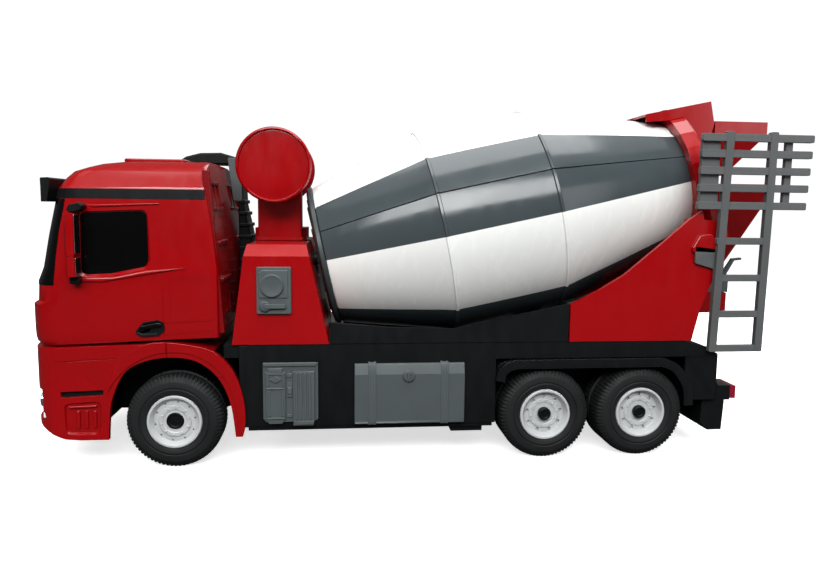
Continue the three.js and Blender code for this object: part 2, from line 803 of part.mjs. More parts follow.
function addHoppers() {
  const hoodTop = sidePrism(
    [
      [282.4, 205.1],
      [324, 213.6],
      [323.6, 215.2],
      [282, 206.4],
    ],
    [-25, 25],
  );
  const cheek = [
    [282, 201.6],
    [306, 203.6],
    [312.5, 197],
    [316, 176],
    [319.6, 176],
    [326.6, 201.4],
    [323.6, 215.2],
    [282, 206.4],
  ];
  const cheeks = [-1, 1].map((s) => sidePrism(cheek, span(s, 24.6, 26.4)));
  const back = sidePrism(
    [
      [316.4, 176],
      [319.6, 176],
      [326.6, 201.4],
      [323.6, 215.2],
      [322, 214.8],
      [323.4, 201.6],
    ],
    [-25, 25],
  );
  const ringSpace = drumCylinder(47.8, [215, 236.4]);
  addPiece("hopper_hood", join(hoodTop, cut(join(...cheeks, back), ringSpace)), RED);

  addPiece(
    "feed_hopper",
    funnel(
      { x: [327.4, 362.5], half: 26, z: 195.6, band: 7.6 },
      { x: [323, 342], half: 14, z: 170 },
      1.6,
    ),
    RED,
  );
  addPiece(
    "discharge_funnel",
    funnel(
      { x: [325, 371.8], half: 22, z: 160, band: 4.4 },
      { x: [327.4, 343.6], half: 9, z: 105.2 },
      1.6,
    ),
    RED,
  );
}

const CHUTE_X = 336.5;

function addChute() {
  const sleeve = box([325.6, 351], [-11.5, 11.5], [92.8, 104.6]);
  const passage = rod(6.4, 30, "z", [CHUTE_X, 0, 98], 20);
  const lever = sidePrism(
    [
      [346, 104],
      [349, 104],
      [354.6, 114],
      [359.6, 114.6],
      [359.4, 116],
      [353.2, 115.4],
    ],
    [-11.4, -8.6],
  );
  addPiece("chute_post", cut(join(sleeve, lever), passage), GREY);

  const pivot = addGroup([CHUTE_X, 0, 0]);
  const channel = box([-10, 13.6], [-11.6, 66], [79, 92.4]);
  const trough = box([-7.8, 11.4], [-9.4, 70], [81.2, 95]);
  const bridge = box([-9, 13], [-11, 9], [90.4, 92.4]);
  const neck = rod(6, 6, "z", [0, 0, 94], 20);
  const bore = rod(4.6, 12, "z", [0, 0, 93.5], 20);
  addPiece("discharge_chute", cut(join(cut(channel, trough), bridge, neck), bore), RED, pivot);
}

function addLadder() {
  const y = [-66.2, -63.2];
  const railX = [309.6, 338.2];
  const rails = railX.map((x) => box([x, x + 4.4], y, [63.4, 193]));
  const rungs = [65.4, 86.2, 107.7, 129.4].map((z) => box([310, 342], y, [z - 2, z + 2]));
  const bars = [150, 160.3, 170.4, 180.4, 190.2].map((z) =>
    box([297 + (z - 150) * 0.03, 366.6 + (z - 150) * 0.04], y, [z - 2.3, z + 2.3]),
  );
  const inner = [-63.4, -60.6];
  const boards = [box([300, 311], inner, [148, 192]), box([352, 356.4], inner, [148, 192])];
  const foot = sidePrism(
    [
      [299, 126.3],
      [299.5, 116.2],
      [313.4, 112.2],
      [313.4, 124.6],
    ],
    [-63.6, -HALF_WIDTH + FIT - 0.2],
  );
  addPiece("ladder", join(...rails, ...rungs, ...bars, ...boards, foot), GREY);
}

function addTail() {
  const beam = sidePrism(
    [
      [311, 18.6],
      [316, 13.3],
      [325, 13.3],
      [326, 31.7],
      [320, 44.2],
      [312.4, 44.2],
    ],
    [-58, 58],
  );
  const holders = [-1, 1].map((s) => box([314.6, 329.4], span(s, 38, 58), [32, 41]));
  addPiece("rear_bumper", join(beam, ...holders), BLACK);
  for (const [name, side] of SIDES) {
    addPiece("tail_light_" + name, box([329.7, 333.6], span(side, 39, 57), [32.6, 40.4]), 0x8a0718);
  }
}

addChassis();
addFloor();
addDriveGearbox();
addFrontAxle();
addRearAxles();
addCab();
addAirIntake();
addFrontBumper();
addTower();
addSideEquipment();
addRearFenders();
addDrum();
addCradle();
addRearSupport();
addHoppers();
addChute();
addLadder();
addTail();

export default truck;
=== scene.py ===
"""Looks of the toy cement mixer truck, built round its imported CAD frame.

Sizes are in millimetres. X is measured back from the front axle, Y from the middle of the truck
(its left side is -Y) and Z up from the ground; at() turns such a point into the frame's metres.
"""

import json
import math

import bmesh
import bpy
from mathutils import Matrix, Vector


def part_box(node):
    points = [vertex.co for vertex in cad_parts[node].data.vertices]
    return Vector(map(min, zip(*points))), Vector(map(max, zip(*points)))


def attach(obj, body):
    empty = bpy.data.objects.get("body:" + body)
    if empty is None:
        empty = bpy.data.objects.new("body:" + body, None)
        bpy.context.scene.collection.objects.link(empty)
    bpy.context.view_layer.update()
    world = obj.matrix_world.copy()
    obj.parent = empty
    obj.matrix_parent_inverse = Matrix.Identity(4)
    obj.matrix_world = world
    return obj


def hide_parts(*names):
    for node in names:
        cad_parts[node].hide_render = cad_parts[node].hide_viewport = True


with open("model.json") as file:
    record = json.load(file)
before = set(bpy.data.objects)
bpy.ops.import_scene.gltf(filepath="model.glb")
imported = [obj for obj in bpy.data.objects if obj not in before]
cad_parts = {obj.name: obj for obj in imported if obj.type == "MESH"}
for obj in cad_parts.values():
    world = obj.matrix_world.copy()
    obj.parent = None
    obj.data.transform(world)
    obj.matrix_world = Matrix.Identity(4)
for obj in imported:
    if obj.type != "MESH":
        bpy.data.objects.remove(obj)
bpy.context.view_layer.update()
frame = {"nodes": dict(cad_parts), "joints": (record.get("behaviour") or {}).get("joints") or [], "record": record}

MM = 0.001
SIDES = (("left", -1), ("right", 1))


def centre(node):
    low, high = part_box(node)
    return (low + high) / 2


def at(x, y, z):
    return Vector((x * MM, y * MM, z * MM)) + FRONT_AXLE


FRONT_AXLE = Vector((centre("tyre_front_left").x, 0, 0))


# ---------------------------------------------------------------- materials


def new_nodes(name):
    material = bpy.data.materials.new(name)
    material.use_nodes = True
    tree = material.node_tree
    shader = tree.nodes["Principled BSDF"]
    coords = tree.nodes.new("ShaderNodeTexCoord").outputs["Object"]
    return material, tree, shader, coords


def noise(tree, coords, scale, detail=3.0, stretch=None):
    if stretch:
        mapping = tree.nodes.new("ShaderNodeMapping")
        mapping.inputs["Scale"].default_value = stretch
        tree.links.new(coords, mapping.inputs["Vector"])
        coords = mapping.outputs["Vector"]
    node = tree.nodes.new("ShaderNodeTexNoise")
    node.inputs["Scale"].default_value = scale
    node.inputs["Detail"].default_value = detail
    tree.links.new(coords, node.inputs["Vector"])
    return node.outputs["Fac"]


def remap(tree, value, low, high, start=0.3, stop=0.7):
    node = tree.nodes.new("ShaderNodeMapRange")
    node.inputs["From Min"].default_value = start
    node.inputs["From Max"].default_value = stop
    node.inputs["To Min"].default_value = low
    node.inputs["To Max"].default_value = high
    tree.links.new(value, node.inputs["Value"])
    return node.outputs["Result"]


def mix_colour(tree, factor, first, second):
    node = tree.nodes.new("ShaderNodeMix")
    node.data_type = "RGBA"
    node.inputs["A"].default_value = (*first, 1)
    node.inputs["B"].default_value = (*second, 1)
    tree.links.new(factor, node.inputs["Factor"])
    return node.outputs["Result"]


def scaled(colour, factor):
    return tuple(min(1.0, c * factor) for c in colour)


def moulded(
    name, colour, rough=0.3, spread=0.06, grain=1500, depth=0.00001, coat=0.0, mottle=0.06, edge_highlight=1.25,
    shine=0.3
):
    """Moulded plastic: uneven gloss, a fine moulded grain, faint mottling, and convex edges painted paler as a
    painted highlight.
    """
    material, tree, shader, coords = new_nodes(name)
    cloud = noise(tree, coords, 45, 4)
    fine = noise(tree, coords, grain, 2)
    smear = noise(tree, coords, 160, 5, stretch=(1, 1, 0.35))
    base = mix_colour(tree, remap(tree, cloud, 0, 1), scaled(colour, 1 - mottle), scaled(colour, 1 + mottle))
    # painted highlight: convex edges (high pointiness) take a paler copy of the colour, edge_highlight times
    # brighter
    geometry = tree.nodes.new("ShaderNodeNewGeometry")
    edge = remap(tree, geometry.outputs["Pointiness"], 0, 0.5, 0.53, 0.6)
    highlit_edge = tree.nodes.new("ShaderNodeMix")
    highlit_edge.data_type = "RGBA"
    highlit_edge.inputs["B"].default_value = (*scaled(colour, edge_highlight), 1)
    tree.links.new(edge, highlit_edge.inputs["Factor"])
    tree.links.new(base, highlit_edge.inputs["A"])
    tree.links.new(highlit_edge.outputs["Result"], shader.inputs["Base Color"])
    tree.links.new(remap(tree, smear, rough - spread, rough + spread), shader.inputs["Roughness"])
    bump = tree.nodes.new("ShaderNodeBump")
    bump.inputs["Strength"].default_value = 0.6
    bump.inputs["Distance"].default_value = depth
    tree.links.new(fine, bump.inputs["Height"])
    tree.links.new(bump.outputs["Normal"], shader.inputs["Normal"])
    shader.inputs["Specular IOR Level"].default_value = shine
    shader.inputs["Coat Weight"].default_value = coat
    shader.inputs["Coat Roughness"].default_value = 0.05
    return material


RED = moulded(
    "red_plastic", (0.27, 0.0008, 0.0022), 0.18, 0.05, 420, 0.000008, mottle=0.04, edge_highlight=1.15, shine=0.5
)
# painted shade: a darker copy of the red plastic, for the cab's rear wall that faces away from the lights
RED_SHADED = moulded("red_plastic_shaded", (0.15, 0.001, 0.0024), 0.28, 0.06, 420, 0.00001, shine=0.35)
GREY = moulded("grey_plastic", (0.066, 0.078, 0.080), 0.42, 0.08, 1800, 0.00002, edge_highlight=1.3, shine=0.25)
LADDER_GREY = moulded("ladder_plastic", (0.085, 0.090, 0.091), 0.34, 0.08, 1800, 0.00002, edge_highlight=1.2)
GREY_DARK = moulded("grey_plastic_dark", (0.032, 0.039, 0.041), 0.42, 0.08, 1800, 0.00002, edge_highlight=1.3)
BLACK = moulded("black_plastic", (0.0032, 0.0040, 0.0043), 0.42, 0.08, 2200, 0.00003, edge_highlight=1.8, shine=0.16)
FENDER_BLACK = moulded(
    "fender_plastic", (0.0036, 0.0044, 0.0047), 0.24, 0.06, 900, 0.00001, edge_highlight=1.5, shine=0.5
)
BLACK_GLOSS = moulded("window_plastic", (0.002, 0.002, 0.0022), 0.1, 0.03, 300, 0.000003, edge_highlight=1.1, shine=0.2)
WHITE = moulded("white_plastic", (0.78, 0.79, 0.77), 0.26, 0.05, 350, 0.000004, mottle=0.015, edge_highlight=1.02)
SLATE = moulded(
    "slate_paint", (0.045, 0.057, 0.062), 0.14, 0.04, 350, 0.000004, mottle=0.05, edge_highlight=1.15, shine=0.5
)
RIM = moulded("rim_plastic", (0.44, 0.455, 0.46), 0.3, 0.08, 900, 0.00001, mottle=0.04, edge_highlight=1.1)
INNER = moulded("inner_plastic", (0.6, 0.6, 0.58), 0.5)
STEEL = moulded("steel", (0.5, 0.51, 0.53), 0.28, 0.08, 2600, 0.000008)
STEEL.node_tree.nodes["Principled BSDF"].inputs["Metallic"].default_value = 1.0
CHROME = moulded("mirror_chrome", (0.8, 0.81, 0.83), 0.07, 0.03, 300, 0.000002, mottle=0.01, edge_highlight=1.0)
CHROME.node_tree.nodes["Principled BSDF"].inputs["Metallic"].default_value = 1.0
LENS = moulded("clear_lens", (0.62, 0.65, 0.68), 0.08, 0.03, 260, 0.00004, coat=1.0)
TAIL = moulded("tail_lens", (0.20, 0.004, 0.02), 0.1, 0.04, 700, 0.00003, coat=1.0)
BOARD = moulded("circuit_laminate", (0.03, 0.18, 0.07), 0.4)
TYRE = moulded(
    "tyre_rubber", (0.0095, 0.0105, 0.0108), 0.62, 0.08, 1400, 0.00005, mottle=0.2, edge_highlight=1.5, shine=0.2
)

CAD_LOOKS = {
    "red_plastic": RED,
    "grey_plastic": GREY,
    "black_plastic": BLACK,
    "window_plastic": BLACK_GLOSS,
    "clear_plastic": LENS,
    "tail_lens": TAIL,
    "drum_plastic": WHITE,
    "inner_plastic": INNER,
    "circuit_laminate": BOARD,
    "steel": STEEL,
    "rim_plastic": RIM,
    "tyre_rubber": TYRE,
}


# ---------------------------------------------------------------- mesh helpers


class Shape:
    """Vertices in the script's millimetres, and faces with the number of their material."""

    def __init__(self):
        self.points = []
        self.faces = []

    def add(self, points, faces, material=0):
        start = len(self.points)
        self.points += points
        self.faces += [([start + i for i in face], material) for face in faces]
        return self

    def merge(self, other):
        start = len(self.points)
        self.points += other.points
        self.faces += [([start + i for i in face], m) for face, m in other.faces]
        return self


def prism(outline, span, across="y"):
    """An outline drawn across one axis, extruded along it over span."""
    place = {
        "x": lambda u, v, w: (w, u, v),
        "y": lambda u, v, w: (u, w, v),
        "z": lambda u, v, w: (u, v, w),
    }[across]
    low, high = sorted(span)
    count = len(outline)
    points = [place(u, v, w) for w in (low, high) for u, v in outline]
    faces = [list(range(count)), [count + i for i in reversed(range(count))]]
    faces += [[i, i + count, (i + 1) % count + count, (i + 1) % count] for i in range(count)]
    return Shape().add(points, faces)


def block(x, y, z):
    return prism([(x[0], z[0]), (x[1], z[0]), (x[1], z[1]), (x[0], z[1])], y)


def frustum(outer, inner, y_outer, y_inner):
    """A solid between two outlines in the side plane with the same number of points."""
    count = len(outer)
    points = [(x, y_outer, z) for x, z in outer] + [(x, y_inner, z) for x, z in inner]
    faces = [list(range(count)), [count + i for i in reversed(range(count))]]
    faces += [[i, i + count, (i + 1) % count + count, (i + 1) % count] for i in range(count)]
    return Shape().add(points, faces)


def rounded(corners, radius, steps=5):
    """The outline with its corners turned into arcs."""
    result = []
    count = len(corners)
    for i, corner in enumerate(corners):
        here = Vector(corner)
        before = Vector(corners[i - 1]) - here
        after = Vector(corners[(i + 1) % count]) - here
        half = before.angle(after) / 2
        reach = min(radius / math.tan(half), before.length * 0.49, after.length * 0.49)
        a, b = here + before.normalized() * reach, here + after.normalized() * reach
        for k in range(steps + 1):
            t = k / steps
            p = (1 - t) ** 2 * a + 2 * t * (1 - t) * here + t**2 * b
            result.append((p.x, p.y))
    return result


def grown(outline, by):
    """The outline pushed outwards by a distance, its points kept one to one."""
    area = sum(
        a[0] * b[1] - b[0] * a[1] for a, b in zip(outline, outline[1:] + outline[:1])
    )
    by = by if area > 0 else -by
    result = []
    for i, point in enumerate(outline):
        before = (Vector(point) - Vector(outline[i - 1])).normalized()
        after = (Vector(outline[(i + 1) % len(outline)]) - Vector(point)).normalized()
        n1, n2 = Vector((before.y, -before.x)), Vector((after.y, -after.x))
        n = n1 + n2
        n = n / max(0.3, n.dot(n) / 2)
        result.append((point[0] + n.x * by, point[1] + n.y * by))
    return result


def curve_through(points, steps=4):
    """A smooth curve through the points, ends kept."""
    result = []
    for i in range(len(points) - 1):
        p0, p1 = Vector(points[max(i - 1, 0)]), Vector(points[i])
        p2, p3 = Vector(points[i + 1]), Vector(points[min(i + 2, len(points) - 1)])
        for k in range(steps):
            t = k / steps
            p = 0.5 * (
                2 * p1
                + (p2 - p0) * t
                + (2 * p0 - 5 * p1 + 4 * p2 - p3) * t**2
                + (3 * p1 - p0 - 3 * p2 + p3) * t**3
            )
            result.append(tuple(p))
    result.append(tuple(points[-1]))
    return result


def stroke(path, width):
    """The outline of a line of even width along a path in a plane."""
    left, right = [], []
    for i, point in enumerate(path):
        before = Vector(path[max(i - 1, 0)])
        after = Vector(path[min(i + 1, len(path) - 1)])
        run = (after - before).normalized()
        side = Vector((-run.y, run.x)) * width / 2
        left.append(tuple(Vector(point) + side))
        right.append(tuple(Vector(point) - side))
    return left + right[::-1]


def turned(profile, place, segments=64, arc=(0.0, 2 * math.pi), material=None, radius_at=None):
    """A closed profile of (radius, distance along the axis) turned about an axis.

    place maps (radius, angle, along) to a point; radius_at may change a radius by (row, segment)."""
    full = abs(arc[1] - arc[0] - 2 * math.pi) < 1e-6
    rings = segments if full else segments + 1
    count = len(profile)
    points = []
    for k in range(rings):
        angle = arc[0] + (arc[1] - arc[0]) * k / segments
        for row, (radius, along) in enumerate(profile):
            r = radius_at(row, k, radius) if radius_at else radius
            points.append(place(r, angle, along))
    shape = Shape()
    shape.points = points
    for k in range(segments):
        n = (k + 1) % rings
        slot = material(k) if material else 0
        for row in range(count):
            up = (row + 1) % count
            shape.faces.append(([k * count + row, n * count + row, n * count + up, k * count + up], slot))
    if not full:
        shape.faces.append((list(range(count)), material(0) if material else 0))
        last = (rings - 1) * count
        shape.faces.append(
            ([last + i for i in reversed(range(count))], material(segments - 1) if material else 0)
        )
    return shape


def about_y(x, z, y0, side=-1):
    """An axle at (x, z): distances run inwards from the outer face at y0."""
    return lambda r, angle, along: (
        x + r * math.cos(angle),
        y0 - side * along,
        z + r * math.sin(angle),
    )


def mesh_of(name, shape):
    mesh = bpy.data.meshes.new(name)
    mesh.from_pydata([at(*p) for p in shape.points], [], [f for f, _ in shape.faces])
    for polygon, (_, slot) in zip(mesh.polygons, shape.faces):
        polygon.material_index = slot
    work = bmesh.new()
    work.from_mesh(mesh)
    bmesh.ops.remove_doubles(work, verts=work.verts, dist=1e-7)
    bmesh.ops.recalc_face_normals(work, faces=work.faces)
    work.to_mesh(mesh)
    work.free()
    return mesh


def settle(target):
    """Bakes the object's modifiers into its mesh."""
    bpy.context.view_layer.update()
    shown = target.evaluated_get(bpy.context.evaluated_depsgraph_get())
    baked = bpy.data.meshes.new_from_object(shown)
    target.modifiers.clear()
    target.data = baked


def carve(target, shape, operation="DIFFERENCE"):
    """Cuts the shape from the object, or keeps only what they share."""
    tool = blank("tool", shape)
    boolean = target.modifiers.new("carve", "BOOLEAN")
    boolean.object = tool
    boolean.operation = operation
    boolean.solver = "EXACT"
    boolean.use_self = True
    settle(target)
    bpy.data.objects.remove(tool)


def soften(target, width=0.4, segments=2, angle=32):
    """Rounded edges with even shading over the flats."""
    if width:
        bevel = target.modifiers.new("edge", "BEVEL")
        bevel.width = width * MM
        bevel.segments = segments
        bevel.limit_method = "ANGLE"
        bevel.angle_limit = math.radians(angle)
        bevel.miter_outer = "MITER_ARC"
        bevel.use_clamp_overlap = True
    target.data.shade_smooth()
    target.data.set_sharp_from_angle(angle=math.radians(max(angle, 38)))
    weighted = target.modifiers.new("shading", "WEIGHTED_NORMAL")
    weighted.keep_sharp = True


def blank(name, shape):
    """A new object that holds the shape and nothing else yet."""
    piece = bpy.data.objects.new(name, mesh_of(name, shape))
    bpy.context.scene.collection.objects.link(piece)
    return piece


def finish(piece, look, edge=0.4, segments=2, angle=32, stands_for=()):
    """Look, rounded edges and place on the truck for a piece that was carved step by step."""
    piece.data.materials.clear()
    piece.data.materials.append(look)
    soften(piece, edge, segments, angle)
    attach(piece, "root")
    if stands_for:
        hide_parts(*stands_for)


def make(name, shape, looks, body="root", stands_for=(), cuts=(), edge=0.4, segments=2, angle=32):
    """One finished piece: its mesh, cuts, rounded edges, materials and place on a body."""
    piece = blank(name, shape)
    for material in looks if isinstance(looks, (list, tuple)) else [looks]:
        piece.data.materials.append(material)
    for cutter in cuts:
        carve(piece, cutter)
    soften(piece, edge, segments, angle)
    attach(piece, body)
    if stands_for:
        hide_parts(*stands_for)
    return piece


def both(a, b, side):
    return (side * a, side * b)


# ---------------------------------------------------------------- cab

# Level outlines of the cab: height, front at the middle, rear and half width.
CAB_LEVELS = [
    (70, -77.5, 25, 60.6),
    (72, -79, 25, 61.6),
    (74, -79.4, 25, 62),
    (79, -79.65, 25, 62.2),
    (92.6, -79.6, 25, 62.2),
    (94.2, -77.2, 25, 62.2),
    (105, -76.6, 25, 62.1),
    (112.5, -73.6, 25, 62),
    (130, -70.2, 23.2, 61.6),
    (148, -66.2, 20.5, 61),
    (155.4, -64.6, 19.2, 60.6),
    (157, -63.4, 19, 59.6),
    (161, -61, 18.6, 57.6),
    (164.8, -57.2, 18.2, 55.4),
    (167.4, -51, 17.9, 50.5),
    (169.6, -45, 17.6, 44),
    (171.2, -36, 17, 36),
    (172, -26, 15.4, 26),
]
CAB_CORNER = [(0.2, 0.0), (0.5, 0.4), (3, 0.79), (8, 0.94), (13, 0.985), (18, 1.0)]


def cab_loft(offset=0.0, levels=CAB_LEVELS):
    rings = []
    for z, front, rear, half in levels:
        front, rear, half = front - offset, rear + offset, half + offset
        corner = [(front + d, h * half) for d, h in CAB_CORNER]
        bend = curve_through(corner, 4)
        tail = [(rear - 3, half), (rear - 0.9, half - 0.8), (rear, half - 3)]
        right = bend + tail
        left = [(x, -y) for x, y in reversed(right)]
        rings.append([(x, y, z) for x, y in left[:-1] + right])
    count = len(rings[0])
    points = [p for ring in rings for p in ring]
    faces = []
    for k in range(len(rings) - 1):
        for i in range(count):
            j = (i + 1) % count
            faces.append([k * count + i, k * count + j, (k + 1) * count + j, (k + 1) * count + i])
    faces.append(list(reversed(range(count))))
    faces.append([(len(rings) - 1) * count + i for i in range(count)])
    return Shape().add(points, faces)


def cab_between(low, high, offset):
    """The cab's levels from one height to another, each level worked out between its neighbours."""

    def level(z):
        for a, b in zip(CAB_LEVELS, CAB_LEVELS[1:]):
            if a[0] <= z <= b[0]:
                t = (z - a[0]) / (b[0] - a[0])
                return (z, *(p + (q - p) * t for p, q in zip(a[1:], b[1:])))

    inside = [lv for lv in CAB_LEVELS if low + 0.01 < lv[0] < high - 0.01]
    return cab_loft(offset, [level(low), *inside, level(high)])


WINDOW = [(-47.2, 109.2), (-32, 109.8), (-13.4, 113.6), (-12.2, 117), (-12.4, 143.6), (-46.6, 142.2)]
window_edge = rounded(WINDOW, 3.2)
STRIPE = (149.9, 155.2)
DOOR_X = -4.6
ROOF_GROOVE = 0.61


def build_cab():
    cuts = []
    for _, side in SIDES:
        # chamfered window frame, then the window's own depth
        cuts.append(frustum(grown(window_edge, 2.4), window_edge, side * 62.9, side * 60.2))
        seams = [
            stroke([(DOOR_X, 69), (DOOR_X, 100), (DOOR_X - 0.4, 125), (DOOR_X - 1, 149.4)], 0.55),
            stroke([(-4, 82.2), (22.4, 83.4)], 0.6),
            stroke([(-4, 75.4), (22.4, 77.8)], 0.6),
        ]
        for outline in seams:
            cuts.append(prism(outline, both(61.75, 64, side)))
        frame_groove = prism(
            [(-0.8, 86.0), (19.8, 86.8), (19.6, 107.0), (-0.8, 106.2)], both(61.85, 64, side)
        )
        cuts.append(frame_groove)
    wheel_edge = [(-90, 60), (30, 60), (30, 74.2), (-4, 73), (-65, 70.2), (-90, 70.0)]
    cuts.append(prism(wheel_edge, (-70, 70)))
    for x in (10.5, -20):
        cuts.append(block((x, x + ROOF_GROOVE), (-70, 70), (171, 180)))
    make(
        "cab_body", cab_loft(), RED, stands_for=("cab_shell",), cuts=cuts, edge=0.35,
        angle=30
    )

    hatch_z = (171.3, 173.5)
    hatch = rounded([(-33, -28), (2, -28), (2, 14), (-33, 14)], 4)
    make("roof_hatch", prism(hatch, hatch_z, "z"), RED, edge=0.7)

    make(
        "roof_stripe",
        cab_between(*STRIPE, 0.14),
        BLACK,
        cuts=[block((18.6, 40), (-80, 80), (140, 170))],
        edge=0.1,
    )

    # windscreen: the black band round the front, back to the sloping pillars
    screen = blank("windscreen", cab_between(103.2, 149.7, 0.16))
    pillar = [
        (-95, 98), (-61.6, 98), (-61.6, 103), (-60.2, 118), (-57.8, 134), (-55.0, 146.4), (-54, 152),
        (-95, 152)
    ]
    carve(screen, prism(rounded(pillar, 1.0, 2), (-80, 80)), "INTERSECT")
    finish(screen, BLACK_GLOSS, 0.15, stands_for=("window_insert",))

    for name, side in SIDES:
        pane = prism(grown(window_edge, 0.3), both(59.6, 60.5, side))
        make("side_window_" + name, pane, BLACK_GLOSS, edge=0.3)
        crest = [
            (-50, 105.2), (-36, 105.0), (-22, 107.4), (9, 112.9), (-13, 111.4), (-30, 107.9), (-49, 107.4)
        ]
        make(
            "belt_crest_" + name, prism(crest, both(61.4, 63.0, side)), RED, edge=0.75,
            segments=3
        )
        brow = [(-42, 146.6), (-5.5, 147.8), (-5.5, 147.2), (-40, 145.4)]
        make("window_brow_" + name, prism(brow, both(60.4, 61.9, side)), RED, edge=0.4)
        build_handle(name, side)
        build_mirror(name, side)
    build_rear_wall()
    build_front_face()


def build_handle(name, side):
    well = rounded(
        [
            (-20.2, 77.2), (-16.4, 75.0), (-7.6, 75.6), (-3.9, 78.6), (-4.4, 82.6), (-7.4, 84.3),
            (-15.4, 83.0)
        ],
        2.6
    )
    cup = prism(well, both(61.2, 63.1, side))
    hollow = frustum(grown(well, -0.7), grown(well, -1.6), side * 63.2, side * 62.45)
    make("handle_cup_" + name, cup, BLACK, cuts=[hollow], edge=0.3)
    grip = rounded([(-17.6, 79.0), (-6.0, 80.2), (-5.6, 82.4), (-8.4, 82.7), (-17.2, 80.9)], 0.8)
    make("handle_grip_" + name, prism(grip, both(62.2, 63.5, side)), BLACK_GLOSS, edge=0.4)


def build_mirror(name, side):
    """Upright housing in two parts on black arms, with the chromed glass towards the rear."""
    profile = rounded([(-51.8, 63.4), (-46.4, 63.4), (-46.4, 72.6), (-50.4, 72.6), (-52.2, 69.6)], 1.0, 3)
    outline = [(x, side * y) for x, y in profile]
    parts = Shape().merge(prism(outline, (119.9, 142), "z")).merge(
        prism(grown(outline, -0.12), (108.8, 119.3), "z")
    )
    parts.merge(prism(grown(outline, -0.6), (119.2, 120), "z"))
    make(
        "mirror_housing_" + name, parts, RED, stands_for=("mirror_" + name,), edge=0.7,
        segments=3
    )
    glass = Shape()
    for low, high in ((121, 141.4), (110, 118.6)):
        glass.merge(block((-46.5, -46.0), both(64.2, 72.0, side), (low, high)))
    make("mirror_glass_" + name, glass, CHROME, edge=0.25)
    upper = rounded(
        [(-49.8, 142.2), (-44.2, 143.4), (-42.4, 146.2), (-44.6, 147.9), (-49.4, 147.0), (-51.6, 144.2)],
        1.6
    )
    lower = rounded([(-51.4, 104.6), (-46.4, 104.4), (-46.2, 108.4), (-51.4, 108.6)], 1.0)
    arms = Shape().merge(prism(upper, both(61.2, 67.8, side))).merge(prism(lower, both(61.6, 67.4, side)))
    make("mirror_arms_" + name, arms, BLACK, edge=0.6)


def build_rear_wall():
    """Raised frames, ribs and corner columns on the cab's rear wall."""

    def wall_x(z):
        for a, b in zip(CAB_LEVELS, CAB_LEVELS[1:]):
            if a[0] <= z <= b[0]:
                return a[2] + (b[2] - a[2]) * (z - a[0]) / (b[0] - a[0])

    def band(y, z, proud):
        outline = [
            (wall_x(z[0]) - 1, z[0]), (wall_x(z[0]) + proud, z[0]), (wall_x(z[1]) + proud, z[1]),
            (wall_x(z[1]) - 1, z[1])
        ]
        return prism(outline, y)

    ribs = Shape()
    for _, side in SIDES:
        ribs.merge(band(both(56.2, 59.4, side), (76, 166), 2.6))
        ribs.merge(band(both(50.2, 52.8, side), (80, 163), 1.8))
        for low, high in ((84, 86), (104, 106), (125, 127), (144, 146), (158.6, 160.4)):
            ribs.merge(band(both(22, 50.8, side), (low, high), 1.3))
        for y in (22, 34, 44):
            ribs.merge(band(both(y, y + 1.6, side), (84, 160), 1.1))
    # the rear-wall ribs take the darker red copy: painted shade on the same red plastic
    make("cab_rear_ribs", ribs, RED_SHADED, edge=0.35)


def build_front_face():
    """A dark grille with three slats, and a pair of wipers."""
    slats = Shape()
    panel = blank("grille_panel", cab_between(73.4, 92.0, 0.0))
    opening = [(-79.3, -36), (-70, -40), (-70, 40), (-79.3, 36)]
    carve(panel, prism(opening, (70, 95), "z"), "INTERSECT")
    finish(panel, BLACK, 0.1)
    for low in (76, 81, 86):
        slats.merge(prism([(-79.4, -34), (-78.0, -35), (-78.0, 35), (-79.4, 34)], (low, low + 2), "z"))
    make("grille_slats", slats, GREY, edge=0.3)
    wipers = Shape()
    for y in (-30, 6):
        wipers.merge(prism(stroke([(y, 106.2), (y + 26, 109.4)], 1.0), (-76.6, -74.6), "x"))
    make("wipers", wipers, BLACK, edge=0.2)


def build_intake():
    """Ribbed air intake behind the cab's right side, its scoop lying over the roof."""
    low, high = 18, 44
    column = [(26, 76), (30.6, 76), (34.6, 118), (34, 124), (29, 148), (28, 172), (25.8, 176), (25.6, 140)]
    scoop = [(-13.4, 174.2), (26.4, 173.6), (28, 174), (23.6, 178.6), (15, 181.0), (2, 180.6), (-7, 178.2)]
    duct = Shape().merge(prism(column, (low, high))).merge(prism(scoop, (low, high)))
    make("intake_duct", duct, BLACK, stands_for=("air_intake",), edge=0.8, segments=3)
    ribs = Shape()
    for k in range(12):
        z = 80 + 7.6 * k
        x = 31 + 3.4 * min(1, (z - 76) / 44) if z < 124 else 34 - (z - 124) * 0.2
        ribs.merge(block((25.9, x + 0.9), (low - 0.8, high + 0.8), (z, z + 2.4)))
    make("intake_ribs", ribs, BLACK, edge=0.5)
    cheek = [(22.6, 150), (28.6, 150), (28, 173), (24, 177.6), (19.4, 178)]
    make("intake_cheek", prism(rounded(cheek, 1.2), (low - 1.4, low - 0.1)), GREY, edge=0.3)


